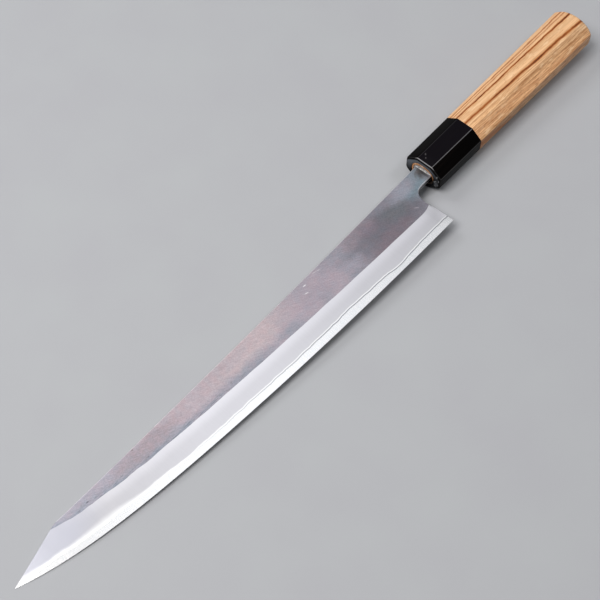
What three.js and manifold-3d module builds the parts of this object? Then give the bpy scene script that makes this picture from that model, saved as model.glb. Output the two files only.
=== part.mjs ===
// A sujihiki: a long slicing knife with a three-layer forged blade and an eight-sided wooden handle.
// Millimetres. The knife lies on its right side: +X runs to the tip, +Y to the cutting edge and +Z up
// out of the blade's left face. The origin is the middle of the grip's lower side face.
import * as THREE from "three";
import { mergeVertices } from "three/addons/utils/BufferGeometryUtils.js";
import Module from "manifold-3d";

const wasm = await Module();
wasm.setup();

// Blade outline. Lengths run from the ferrule's front face, heights from the handle's axis.
const edgeLength = 300; // heel to tip
const neckLength = 12.5; // ferrule to heel
const neckHeight = 10.8;
const heelDepth = 32.3; // axis to edge at the heel
const bellyRise = 16.4; // how far the edge's long even curve climbs by the tip
const tipRise = 9.5; // how far the last sweep of the edge adds to that
const sweepPower = 9; // the higher, the closer to the tip the last sweep starts
const clipLength = 34.5; // the sloped end of the spine, from its corner to the tip
const clipCorner = 2; // rounding of that corner, along each side
const spineDrop = 2.1; // how much lower the spine is at its corner than at the neck
const spineSag = 0.93; // how far the spine's middle falls below a straight line
const choilLean = 2.1; // how far the back of the heel slopes forward on its way up
const choilFillet = 7.5; // rounding where the back of the heel meets the neck, along each side

// Blade section
const neckThickness = 3.5;
const cornerThickness = 1.5; // at the spine's corner, after an even taper from the neck
const taperStart = 8; // the taper starts this far in front of the ferrule
const edgeLand = 0.24; // flat left on the very edge
const shinogiDepth = 17.9; // axis to the top of the bevel at the heel
const shinogiRise = 15.7; // how far the top of the bevel climbs by the tip, in its long curve
const shinogiSweep = 19.9; // how far the last sweep adds, which carries it to the spine's corner
const shinogiPower = 1.5;
const heelSweep = 2.6; // how far the top of the bevel curls up at the back of the heel
const heelSweepLength = 9;

// Laminate
const coreThickness = 1.12; // hard core at the neck
const coreTipThickness = 0.44; // hard core at the spine's corner
const coreReveal = 3.9; // height of core that the bevel lays bare along the edge

// Tang
const tangLength = 95; // inside the handle
const tangEndHeight = 6;
const tangEndThickness = 2.4;
const tangGap = 0.3; // room round the tang in its slots
const tangEndGap = 3; // room past its end

// Handle
const ferruleLength = 37.3;
const gripLength = 108;
const handleHeightFront = 24.2;
const handleHeightButt = 26.3;
const handleThickness = 18.7;
const facetRun = 7.1; // each corner facet, measured along the handle's height
const facetRise = 5.3; // and along its thickness
const frontRound = 1.4; // rounding of the ferrule's front edge
const buttDome = 2.6; // how far the butt stands out past the middle of each facet's end
const buttPower = 4; // 2 rounds the butt evenly, more keeps its middle flatter

// Dowel that joins ferrule and grip, and the resin in its mouth
const mouthFillHeight = 1.4; // resin above and below the tang
const mouthFillThickness = 3.25; // resin at the tang's flat sides
const mouthFillShift = 0.35; // how far the resin lies off the axis, towards the edge
const dowelRimHeight = 0.85; // wood left above and below the resin, evened out over both
const dowelRimThickness = 1.85; // wood left at the resin's flat sides
const dowelReach = 20; // into the grip
const glueGap = 0.15; // round the dowel
const dowelEndGap = 0.5;
const sealDepth = 4;
const sealGap = 0.1; // round the resin
const mouthInset = 0.2; // dowel and resin end this far behind the ferrule's face
const dowelSquareness = 2.4; // power of the dowel's oval

// Fineness of the curves
const bladeStations = 40;
const heelStations = 6; // along the curl at the back of the heel
const ovalSides = 40;
const roundSteps = 3;
const domeSteps = 8;

const overrun = 1; // cutting solids reach this far past what they cut
const tipX = neckLength + edgeLength;
const cornerX = tipX - clipLength;
const tipDepth = heelDepth - bellyRise - tipRise;
const cornerDepth = spineDrop - neckHeight / 2;
const jointX = -ferruleLength;
const buttX = -(ferruleLength + gripLength);

const lerp = THREE.MathUtils.lerp;

// Share of the edge's length that lies behind x, from 0 at the heel to 1 at the tip
const alongEdge = (x) => Math.max(0, (x - neckLength) / edgeLength);

// Depth of the cutting edge below the handle's axis
function edgeDepth(x) {
  const u = alongEdge(x);
  return heelDepth - bellyRise * u ** 2 - tipRise * u ** sweepPower;
}

// Depth of the shinogi, the line where the flat of the blade turns into the bevel
function shinogiAt(x) {
  const u = alongEdge(x);
  const fromChoil = THREE.MathUtils.clamp((x - neckLength) / heelSweepLength, 0, 1);
  const curl = heelSweep * (1 - fromChoil) ** 2;
  return shinogiDepth - shinogiRise * u ** shinogiPower - shinogiSweep * u ** sweepPower - curl;
}

// A thickness that is even along the neck, then tapers in a straight line to the spine's corner and on
function taper(x, atNeck, atCorner) {
  return lerp(atNeck, atCorner, Math.max(0, (x - taperStart) / (cornerX - taperStart)));
}

// How far back along the tang x lies, from 0 at the ferrule's face to 1 at the tang's end
const alongTang = (x) => Math.max(0, -x / tangLength);

// Thickness of the blade's flat, from tang to tip
function flatThickness(x) {
  return x < 0 ? lerp(neckThickness, tangEndThickness, alongTang(x)) : taper(x, neckThickness, cornerThickness);
}

// Thickness of the core: an even share of the tang's, and tapering with the blade
function coreThicknessAt(x) {
  return x < 0
    ? (flatThickness(x) * coreThickness) / neckThickness
    : taper(x, coreThickness, coreTipThickness);
}

// Stations that crowd together towards both ends
function stations(from, to, count) {
  return Array.from({ length: count + 1 }, (_, i) => lerp(from, to, (1 - Math.cos((Math.PI * i) / count)) / 2));
}

// A closed solid through convex rings of [y, z] points, each ring at its own x, in order of growing x.
// A ring's points run from +Y towards +Z.
function loft(rings) {
  const count = rings[0].points.length;
  const positions = rings.flatMap(({ x, points }) => points.flatMap(([y, z]) => [x, y, z]));
  const index = [];
  for (let ring = 0; ring + 1 < rings.length; ring++)
    for (let j = 0; j < count; j++) {
      const a = ring * count + j;
      const b = ring * count + ((j + 1) % count);
      index.push(a, b, a + count, b, b + count, a + count);
    }
  const last = (rings.length - 1) * count;
  for (let j = 1; j + 1 < count; j++) {
    index.push(0, j + 1, j);
    index.push(last, last + j, last + j + 1);
  }
  const geometry = new THREE.BufferGeometry();
  geometry.setAttribute("position", new THREE.Float32BufferAttribute(positions, 3));
  geometry.setIndex(index);
  return geometry;
}

// A geometry as a solid that can be cut and joined
function solid(geometry) {
  const bare = geometry.clone();
  bare.deleteAttribute("normal");
  bare.deleteAttribute("uv");
  const merged = mergeVertices(bare);
  return new wasm.Manifold(
    new wasm.Mesh({
      numProp: 3,
      vertProperties: merged.getAttribute("position").array,
      triVerts: new Uint32Array(merged.index.array),
    }),
  );
}

// A named mesh of a solid
function piece(name, body, material) {
  const { vertProperties, triVerts } = body.getMesh();
  const geometry = new THREE.BufferGeometry();
  geometry.setAttribute("position", new THREE.BufferAttribute(vertProperties, 3));
  geometry.setIndex(new THREE.BufferAttribute(triVerts, 1));
  geometry.computeVertexNormals();
  const mesh = new THREE.Mesh(geometry, material);
  mesh.name = name;
  return mesh;
}

// Side view of the blade and its tang
function bladeOutline() {
  const neckTop = -neckHeight / 2;
  const neckUnder = neckHeight / 2;
  const clipSlope = (tipDepth - cornerDepth) / clipLength;
  const spineMiddle = (neckTop + cornerDepth) / 2 + 2 * spineSag;
  const choilTopX = neckLength + choilLean;
  const outline = new THREE.Shape();
  outline.moveTo(-tangLength, -tangEndHeight / 2);
  outline.lineTo(0, neckTop);
  outline.quadraticCurveTo(cornerX / 2, spineMiddle, cornerX - clipCorner, cornerDepth);
  outline.quadraticCurveTo(cornerX, cornerDepth, cornerX + clipCorner, cornerDepth + clipSlope * clipCorner);
  for (const x of stations(neckLength, tipX, bladeStations).reverse()) outline.lineTo(x, edgeDepth(x));
  outline.lineTo(choilTopX, neckUnder + choilFillet);
  outline.quadraticCurveTo(choilTopX, neckUnder, choilTopX - choilFillet, neckUnder);
  outline.lineTo(0, neckUnder);
  outline.lineTo(-tangLength, tangEndHeight / 2);
  outline.closePath();
  return outline;
}

// The outline as a plate thicker than the blade, which trims each layer
function bladePlate() {
  const depth = neckThickness + 2 * overrun;
  const plate = new THREE.ExtrudeGeometry(bladeOutline(), { depth, bevelEnabled: false });
  return solid(plate.translate(0, 0, -depth / 2));
}

// Stations of the layers: the tang and the neck are straight, so one at each end of them is enough
const heelSweepEnd = neckLength + heelSweepLength;
const layerStations = [
  -tangLength - overrun,
  0,
  taperStart,
  ...stations(neckLength, heelSweepEnd, heelStations),
  ...stations(heelSweepEnd, tipX + overrun, bladeStations).slice(1),
].sort((a, b) => a - b);

// Height that is safely above the spine and above the bevel's top where that has run off the blade
const aboveSpine = (x) => Math.min(-neckHeight / 2, shinogiAt(x)) - overrun;

// Depth of the lamination line, where the bevel lays the core bare
const laminationAt = (x) => edgeDepth(x) - coreReveal;

// The hard core: even flats down to the lamination line, then the last stretch of the bevel on each side
function coreLayer() {
  const rings = layerStations.map((x) => {
    const half = coreThicknessAt(x) / 2;
    const slope = (half - edgeLand / 2) / coreReveal;
    const below = edgeLand / 2 - slope * (overrun / 2);
    const bottom = edgeDepth(x) + overrun / 2;
    const top = aboveSpine(x);
    const lamination = laminationAt(x);
    return {
      x,
      points: [
        [bottom, -below],
        [bottom, below],
        [lamination, half],
        [top, half],
        [top, -half],
        [lamination, -half],
      ],
    };
  });
  return solid(loft(rings));
}

// One layer of cladding: the flat of the blade, and the bevel down to the lamination line
function claddingLayer(side) {
  const rings = layerStations.map((x) => {
    const inner = (side * coreThicknessAt(x)) / 2;
    const outer = (side * flatThickness(x)) / 2;
    const top = aboveSpine(x);
    const points = [
      [laminationAt(x), inner],
      [shinogiAt(x), outer],
      [top, outer],
      [top, inner],
    ];
    return { x, points: side > 0 ? points : points.reverse() };
  });
  return solid(loft(rings));
}

// Half of the handle's height at x, which grows evenly from the ferrule's face to the butt
const handleHalfHeight = (x) => lerp(handleHeightFront, handleHeightButt, x / buttX) / 2;

// The handle's eight-sided section at x, with every side moved in by inset
function octagon(x, inset = 0) {
  const diagonal = Math.hypot(facetRun, facetRise);
  const y = handleHalfHeight(x) - inset;
  const z = handleThickness / 2 - inset;
  const facetY = handleHalfHeight(x) - facetRun - (inset * (diagonal - facetRun)) / facetRise;
  const facetZ = handleThickness / 2 - facetRise - (inset * (diagonal - facetRise)) / facetRun;
  return [
    [y, -facetZ],
    [y, facetZ],
    [facetY, z],
    [-facetY, z],
    [-y, facetZ],
    [-y, -facetZ],
    [-facetY, -z],
    [facetY, -z],
  ];
}

// An oval about the handle's axis: a power of 2 gives an ellipse, more is squarer
function oval(halfHeight, halfThickness, power) {
  const bulge = (value) => Math.sign(value) * Math.abs(value) ** (2 / power);
  return Array.from({ length: ovalSides }, (_, i) => {
    const turn = (2 * Math.PI * i) / ovalSides;
    return [halfHeight * bulge(Math.cos(turn)), halfThickness * bulge(Math.sin(turn))];
  });
}

// A bar of one section between two stations
function bar(points, from, to) {
  return solid(loft([from, to].map((x) => ({ x, points }))));
}

// The tang's space between two stations, with a gap all round
function tangSlot(gap, from, to) {
  const rings = [from, to].map((x) => {
    const share = -x / tangLength;
    const y = lerp(neckHeight, tangEndHeight, share) / 2 + gap;
    const z = lerp(neckThickness, tangEndThickness, share) / 2 + gap;
    return {
      x,
      points: [
        [y, -z],
        [y, z],
        [-y, z],
        [-y, -z],
      ],
    };
  });
  return solid(loft(rings));
}

// Mouth of the dowel: the tang, the resin round it and a rim of wood
const fillHalfHeight = neckHeight / 2 + mouthFillHeight;
const fillHalfThickness = neckThickness / 2 + mouthFillThickness;
const dowelHalfHeight = fillHalfHeight + dowelRimHeight;
const dowelHalfThickness = fillHalfThickness + dowelRimThickness;
const dowelOval = (gap) => oval(dowelHalfHeight + gap, dowelHalfThickness + gap, dowelSquareness);

// Section of the resin, with every side moved in by inset
function fillOval(inset) {
  const points = oval(fillHalfHeight - inset, fillHalfThickness - inset, dowelSquareness);
  return points.map(([y, z]) => [y + mouthFillShift, z]);
}

// The horn collar, rounded over at its front edge and bored for the dowel
function ferruleBody() {
  const rings = [{ x: jointX, points: octagon(jointX) }];
  for (let step = 0; step <= roundSteps; step++) {
    const turn = ((Math.PI / 2) * step) / roundSteps;
    const x = frontRound * (Math.sin(turn) - 1);
    rings.push({ x, points: octagon(x, frontRound * (1 - Math.cos(turn))) });
  }
  return solid(loft(rings)).subtract(bar(dowelOval(glueGap), jointX - overrun, overrun));
}

// A bar that ends in the butt's dome. Its ellipses grow until one goes round the handle's corners.
function buttDomeBody() {
  const dome = Array.from({ length: domeSteps }, (_, i) => {
    const reach = (Math.SQRT2 * (i + 1)) / domeSteps;
    const points = oval((reach * handleHeightButt) / 2, (reach * handleThickness) / 2, 2);
    return { x: buttX + buttDome * reach ** buttPower, points };
  });
  return solid(loft([...dome, { x: jointX + overrun, points: dome.at(-1).points }]));
}

// The wooden grip, with a domed butt, a socket for the dowel and a slot for the tang
function gripBody() {
  const sides = [buttX - overrun, jointX].map((x) => ({ x, points: octagon(x) }));
  const socketEnd = jointX - dowelReach - dowelEndGap;
  const socket = bar(dowelOval(glueGap), socketEnd, jointX + overrun);
  const slot = tangSlot(tangGap, -tangLength - tangEndGap, socketEnd + overrun);
  return solid(loft(sides)).intersect(buttDomeBody()).subtract(socket).subtract(slot);
}

// The dowel, slotted for the tang and hollowed at its mouth for the resin
function dowelBody() {
  const end = jointX - dowelReach;
  const hollow = bar(fillOval(0), -sealDepth - mouthInset, overrun);
  return bar(dowelOval(0), end, -mouthInset)
    .subtract(tangSlot(tangGap, end - overrun, overrun))
    .subtract(hollow);
}

// The resin that closes the mouth round the tang
function sealBody() {
  const plug = bar(fillOval(sealGap), sealGap - sealDepth - mouthInset, -mouthInset);
  return plug.subtract(tangSlot(sealGap, -sealDepth - overrun, overrun));
}

const coreSteel = new THREE.MeshStandardMaterial({ color: "#d3d4d6", metalness: 1, roughness: 0.22 });
const forgedIron = new THREE.MeshStandardMaterial({ color: "#8a8387", metalness: 0.9, roughness: 0.5 });
const blackHorn = new THREE.MeshStandardMaterial({ color: "#14110f", metalness: 0, roughness: 0.25 });
const paleWood = new THREE.MeshStandardMaterial({ color: "#cb9a63", metalness: 0, roughness: 0.55 });
const dowelWood = new THREE.MeshStandardMaterial({ color: "#bd7a41", metalness: 0, roughness: 0.6 });
const resin = new THREE.MeshStandardMaterial({ color: "#c8c6c2", metalness: 0, roughness: 0.4 });

const plate = bladePlate();
const knife = new THREE.Group();
knife.position.set(ferruleLength + gripLength / 2, 0, handleThickness / 2);
knife.add(
  piece("core_steel", plate.intersect(coreLayer()), coreSteel),
  piece("left_cladding", plate.intersect(claddingLayer(1)), forgedIron),
  piece("right_cladding", plate.intersect(claddingLayer(-1)), forgedIron),
  piece("ferrule", ferruleBody(), blackHorn),
  piece("grip", gripBody(), paleWood),
  piece("dowel", dowelBody(), dowelWood),
  piece("mouth_seal", sealBody(), resin),
);

const part = new THREE.Group();
part.add(knife);
export default part;
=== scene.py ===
"""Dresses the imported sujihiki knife: laminated blade, horn ferrule, wooden grip and resin-sealed mouth.

Lengths are millimetres in the knife's own frame until a mesh is placed. There x runs from the ferrule's
front face to the tip, y to the cutting edge and z out of the blade's left face, and y and z are zero on
the handle's axis.
"""

import logging
import math
from dataclasses import dataclass, field
from enum import Enum
from typing import Sequence

import bmesh
import bpy
from mathutils import Matrix, Vector, noise

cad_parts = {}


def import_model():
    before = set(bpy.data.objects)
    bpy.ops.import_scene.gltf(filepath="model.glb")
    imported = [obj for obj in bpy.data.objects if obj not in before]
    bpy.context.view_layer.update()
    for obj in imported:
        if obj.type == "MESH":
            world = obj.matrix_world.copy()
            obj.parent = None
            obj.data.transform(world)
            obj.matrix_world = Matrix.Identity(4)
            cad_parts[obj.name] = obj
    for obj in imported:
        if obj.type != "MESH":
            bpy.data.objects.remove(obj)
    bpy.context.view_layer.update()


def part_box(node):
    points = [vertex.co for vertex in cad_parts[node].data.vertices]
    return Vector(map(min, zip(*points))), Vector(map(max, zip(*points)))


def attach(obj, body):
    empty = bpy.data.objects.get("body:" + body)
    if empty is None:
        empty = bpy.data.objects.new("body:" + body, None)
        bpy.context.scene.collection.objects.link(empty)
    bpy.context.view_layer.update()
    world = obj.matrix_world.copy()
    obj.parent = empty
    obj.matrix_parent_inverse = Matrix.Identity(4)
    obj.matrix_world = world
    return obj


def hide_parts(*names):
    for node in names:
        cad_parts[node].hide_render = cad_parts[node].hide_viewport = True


LOG = logging.getLogger("sujihiki")
MM = 0.001
BODY = "root"
# A length far beyond the knife, for a patch that has no end in one direction.
BEYOND = 1e6
# The ferrule's front to the tip, over which the blade's finishes change.
REACH = 312.5
# Points nearer than the first are welded, and slivers narrower than the second are dissolved.
WELD = 0.002 * MM
SLIVER = 0.001 * MM
SOFT = {"interpolation_type": "SMOOTHSTEP"}

Pair = tuple[float, float]
Point = tuple[float, float, float]
Colour = tuple[float, float, float, float]
Feed = bpy.types.Node | bpy.types.NodeSocket


class Side(Enum):
    """Which face of the blade, by the sign of its z."""

    LEFT = 1
    RIGHT = -1


class Closing(Enum):
    """How a row of rings is made into a closed skin."""

    LOOP = "the last ring meets the first"
    POLES = "a point closes each end"


class Mark(Enum):
    """Numbers that a mesh's points carry for its finish, in millimetres unless it says otherwise."""

    RIDGE = "from_shinogi"
    LAYER = "from_lamination"
    RIM = "from_outline"
    CREASE = "crease_share"
    FACE = "front_face_share"
    # The share of the horn's painted highlight, on its ridges and front rounding.
    EDGE_HIGHLIGHT = "edge_wear_share"
    GROWTH = "growth_layers"


def lerp(start: float, end: float, share: float) -> float:
    """Returns the value at a share of the way from start to end."""
    return start + (end - start) * share


def clamp(value: float, low: float = 0.0, high: float = 1.0) -> float:
    """Returns the value held between low and high."""
    return max(low, min(high, value))


def smooth(share: float) -> float:
    """Returns a share eased at both ends."""
    share = clamp(share)
    return share * share * (3 - 2 * share)


def through(points: Sequence[Pair], x: float) -> float:
    """Reads a smooth line through a few points.

    Args:
        points: Places and values, in order of place.
        x: The place to read.

    Returns:
        The value there, level beyond the first and last points.
    """
    if x <= points[0][0]:
        return points[0][1]
    for (x0, v0), (x1, v1) in zip(points, points[1:]):
        if x <= x1:
            return lerp(v0, v1, smooth((x - x0) / (x1 - x0)))
    return points[-1][1]


def linear(hex_colour: str) -> Colour:
    """Turns an sRGB hex colour into the linear values that shaders take.

    Args:
        hex_colour: A # and six hex digits.

    Returns:
        Linear red, green and blue, and an alpha of one.
    """
    channels = [int(hex_colour[at:at + 2], 16) / 255 for at in (1, 3, 5)]
    red, green, blue = (c / 12.92 if c <= 0.04045 else ((c + 0.055) / 1.055) ** 2.4 for c in channels)
    return red, green, blue, 1.0


def shades(places: Sequence[Pair]) -> list[tuple[float, Colour]]:
    """Returns greys at places along the blade as stops of a colour ramp."""
    return [(x / REACH, (grey, grey, grey, 1.0)) for x, grey in places]


@dataclass(frozen=True)
class Bench:
    """Where the knife's own frame stands in the row's frame.

    Attributes:
        origin: The middle of the ferrule's front face, in metres.
    """

    origin: Vector

    @classmethod
    def from_frame(cls) -> "Bench":
        """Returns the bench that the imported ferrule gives."""
        low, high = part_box("ferrule")
        return cls(Vector((high.x, (low.y + high.y) / 2, (low.z + high.z) / 2)))

    def row(self, point: Sequence[float]) -> Vector:
        """Returns a point of the knife's frame in the row's metres."""
        return self.origin + Vector(point) * MM


@dataclass
class Shell:
    """A mesh in the making.

    Attributes:
        points: Its points.
        faces: The points of each face.
        dress: The material number of each face.
        marks: The numbers that each point carries.
    """

    points: list[Point] = field(default_factory=list)
    faces: list[tuple[int, ...]] = field(default_factory=list)
    dress: list[int] = field(default_factory=list)
    marks: dict[Mark, list[float]] = field(default_factory=dict)

    def piece(
        self, name: str, bench: Bench, materials: Sequence[bpy.types.Material], slot: str, sharp: float
    ) -> bpy.types.Object:
        """Makes the closed mesh, dresses it, names it after the CAD node and hides that node.

        Args:
            name: The CAD node that the piece replaces; the piece is named after it.
            bench: Where the knife's frame stands.
            materials: The materials that the faces' numbers mean.
            slot: A material slot's name; not used.
            sharp: Edges that turn by more degrees than this stay crisp.

        Returns:
            The finished object.
        """
        mesh = bpy.data.meshes.new(f"{name}_dressed")
        mesh.from_pydata([bench.row(p) for p in self.points], [], self.faces)
        mesh.polygons.foreach_set("material_index", self.dress or [0] * len(self.faces))
        for mark, values in self.marks.items():
            mesh.attributes.new(mark.value, "FLOAT", "POINT").data.foreach_set("value", values)
        work = bmesh.new()
        work.from_mesh(mesh)
        bmesh.ops.remove_doubles(work, verts=work.verts, dist=WELD)
        bmesh.ops.dissolve_degenerate(work, edges=work.edges, dist=SLIVER)
        bmesh.ops.recalc_face_normals(work, faces=work.faces)
        work.to_mesh(mesh)
        work.free()
        mesh.shade_smooth()
        mesh.set_sharp_from_angle(angle=math.radians(sharp))
        self.keep_creases(mesh)
        for material in materials:
            mesh.materials.append(material)
        piece = bpy.data.objects.new(f"{name}_dressed", mesh)
        bpy.context.scene.collection.objects.link(piece)
        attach(piece, BODY)
        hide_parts(name)
        LOG.info("%s: %d points, %d faces", piece.name, len(mesh.vertices), len(mesh.polygons))
        return piece

    def keep_creases(self, mesh: bpy.types.Mesh) -> None:
        """Keeps an edge crisp where both its points are marked as a crease, however little it turns.

        Args:
            mesh: The mesh with its sharp edges set by angle.
        """
        if Mark.CREASE not in self.marks:
            return
        creased = [value.value > 0.5 for value in mesh.attributes[Mark.CREASE.value].data]
        for edge in mesh.edges:
            if all(creased[at] for at in edge.vertices):
                edge.use_edge_sharp = True


def skin(rings: Sequence[Sequence[Point]], closing: Closing) -> Shell:
    """Joins rings of points into a closed mesh.

    Args:
        rings: Rings with the same number of points, in order.
        closing: How the first and last ring are closed.

    Returns:
        The mesh in the making.
    """
    shell = Shell()
    count = len(rings[0])
    last = (len(rings) - 1) * count
    for ring in rings:
        shell.points.extend(ring)
    pairs = [(start, start + count) for start in range(0, last, count)]
    if closing is Closing.LOOP:
        pairs.append((last, 0))
    for start, end in pairs:
        for at in range(count):
            after = (at + 1) % count
            shell.faces.append((start + at, start + after, end + after, end + at))
    if closing is Closing.POLES:
        for ring, start in ((rings[0], 0), (rings[-1], last)):
            pole = len(shell.points)
            shell.points.append(tuple(sum(p[axis] for p in ring) / count for axis in range(3)))
            for at in range(count):
                shell.faces.append((start + at, start + (at + 1) % count, pole))
    return shell


@dataclass(frozen=True)
class Patch:
    """A soft-edged patch of another tone.

    Attributes:
        x: Its middle along the blade.
        y: Its middle across the blade.
        reach: Half its length and half its height.
        tone: Its colour.
        strength: How far the colour takes over in the middle.
        lean: How far it is turned, in degrees.
        level: Its middle and half its reach in z; by default it has no end there.
    """

    x: float
    y: float
    reach: Pair
    tone: str
    strength: float
    lean: float = 0.0
    level: Pair = (0.0, BEYOND)


@dataclass(frozen=True)
class Change:
    """A steady change from one strength to another.

    Attributes:
        start: Where it starts.
        end: Where it ends.
        low: The strength up to the start.
        high: The strength from the end on.
    """

    start: float = 0.0
    end: float = 1.0
    low: float = 0.0
    high: float = 1.0

    def over(self, value: Feed) -> dict[str | int, object]:
        """Returns the feeds of a map range that follows the change over a value."""
        ends = {"From Min": self.start, "From Max": self.end, "To Min": self.low, "To Max": self.high}
        return {"Value": value, **ends}


@dataclass
class Board:
    """A material in the making.

    Attributes:
        tree: Its node tree.
        shader: Its Principled shader.
        place: Each point's place in the knife's frame, in millimetres.
    """

    tree: bpy.types.NodeTree
    shader: bpy.types.Node
    place: Feed | None = None

    def fill(self, node: bpy.types.Node, feeds: dict[str | int, object]) -> None:
        """Fills a node's inputs.

        Args:
            node: The node.
            feeds: Input name or number, with a value, a hex colour, a socket, or a node for its first output.
        """
        for key, value in feeds.items():
            if isinstance(value, bpy.types.Node):
                value = next(socket for socket in value.outputs if socket.enabled)
            if isinstance(value, bpy.types.NodeSocket):
                self.tree.links.new(value, node.inputs[key])
            else:
                node.inputs[key].default_value = linear(value) if isinstance(value, str) else value

    def add(
        self,
        kind: str,
        feeds: dict[str | int, object] | None = None,
        stops: Sequence[tuple[float, str | Colour]] = (),
        **settings: object,
    ) -> bpy.types.Node:
        """Adds a node with its settings and links.

        Args:
            kind: The shader node's type name.
            feeds: What fills its inputs: see fill.
            stops: Places and colours of a colour ramp.
            settings: The node's own properties.

        Returns:
            The new node.
        """
        node = self.tree.nodes.new(f"ShaderNode{kind}")
        for name, value in settings.items():
            setattr(node, name, value)
        self.fill(node, feeds or {})
        if stops:
            elements = node.color_ramp.elements
            while len(elements) < len(stops):
                elements.new(1.0)
            for element, (place, colour) in zip(elements, stops):
                element.position = place
                element.color = linear(colour) if isinstance(colour, str) else colour
        return node

    def grained(
        self,
        size: Pair,
        detail: float,
        place: Feed | None = None,
        deep: bool = True,
        turn: float = 0.0,
        shift: Point = (0.0, 0.0, 0.0),
        roughness: float = 0.5,
    ) -> bpy.types.Node:
        """Draws an uneven grain that is drawn out along the knife.

        Args:
            size: A grain's length and height.
            detail: How finely the grains are broken up.
            place: Where each point lies, if not in the knife's own frame.
            deep: Whether the grains change through the thickness too.
            turn: How far they are turned, in radians.
            shift: How far the whole drawing is moved, in grains.
            roughness: How strong the fine breaks are.

        Returns:
            The noise that gives the grain's strength.
        """
        stretch = (1 / size[0], 1 / size[1], 1 / size[1] if deep else 0.0)
        spot = self.place if place is None else place
        moves = {"Location": shift, "Rotation": (0.0, 0.0, turn), "Scale": stretch}
        drawn_out = self.add("Mapping", {"Vector": spot, **moves})
        fine = {"Scale": 1.0, "Detail": detail, "Roughness": roughness}
        return self.add("TexNoise", {"Vector": drawn_out, **fine})

    def laid(self, base: Feed, *coats: tuple[Feed, str]) -> Feed:
        """Lays coats of other tones over a colour.

        Args:
            base: The colour below.
            coats: How far each coat covers, and its tone, lowest first.

        Returns:
            The colour with the coats on it.
        """
        for cover, tone in coats:
            base = self.add("Mix", {"Factor": cover, 6: base, 7: tone}, data_type="RGBA")
        return base

    def shaded(self, base: Feed, *changes: Feed) -> Feed:
        """Makes a colour lighter and darker.

        Args:
            base: The colour below.
            changes: What it is multiplied by.

        Returns:
            The shaded colour.
        """
        for change in changes:
            feeds = {"Factor": 1.0, 6: base, 7: change}
            base = self.add("Mix", feeds, data_type="RGBA", blend_type="MULTIPLY")
        return base

    def patched(self, base: Feed, patches: Sequence[Patch], place: Feed | None = None) -> Feed:
        """Lays soft patches over a colour.

        Args:
            base: The colour below.
            patches: The patches, lowest first.
            place: Where each point lies, if not in the knife's own frame.

        Returns:
            The colour with the patches on it.
        """
        for patch in patches:
            local = self.add(
                "Mapping",
                {
                    "Vector": self.place if place is None else place,
                    "Location": (patch.x, patch.y, patch.level[0]),
                    "Rotation": (0.0, 0.0, math.radians(patch.lean)),
                    "Scale": (*patch.reach, patch.level[1]),
                },
                vector_type="TEXTURE",
            )
            ball = self.add("TexGradient", {"Vector": local}, gradient_type="SPHERICAL")
            soft_edge = Change(0.0, 0.7, 0.0, patch.strength)
            cover = self.add("MapRange", soft_edge.over(ball.outputs["Fac"]), **SOFT)
            base = self.laid(base, (cover, patch.tone))
        return base


@dataclass(frozen=True)
class Finish:
    """A real material with the way its surface was made.

    Attributes:
        bench: Where the knife's frame stands.
        name: The material's name.
    """

    bench: Bench
    name: str = "finish"

    def material(self) -> bpy.types.Material:
        """Returns a new material with this finish."""
        material = bpy.data.materials.new(self.name)
        material.use_nodes = True
        tree = material.node_tree
        board = Board(tree, tree.nodes["Principled BSDF"])
        spot = board.add("TexCoord").outputs["Object"]
        shift = [-value / MM for value in self.bench.origin]
        board.place = board.add("Mapping", {"Vector": spot, "Location": shift, "Scale": [1 / MM] * 3})
        board.fill(board.shader, self.paint(board))
        return material

    def paint(self, board: Board) -> dict[str | int, object]:
        """Works out what fills the shader's sockets.

        Args:
            board: The material in the making.

        Returns:
            The sockets' names, with what fills them.
        """
        raise NotImplementedError


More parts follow.
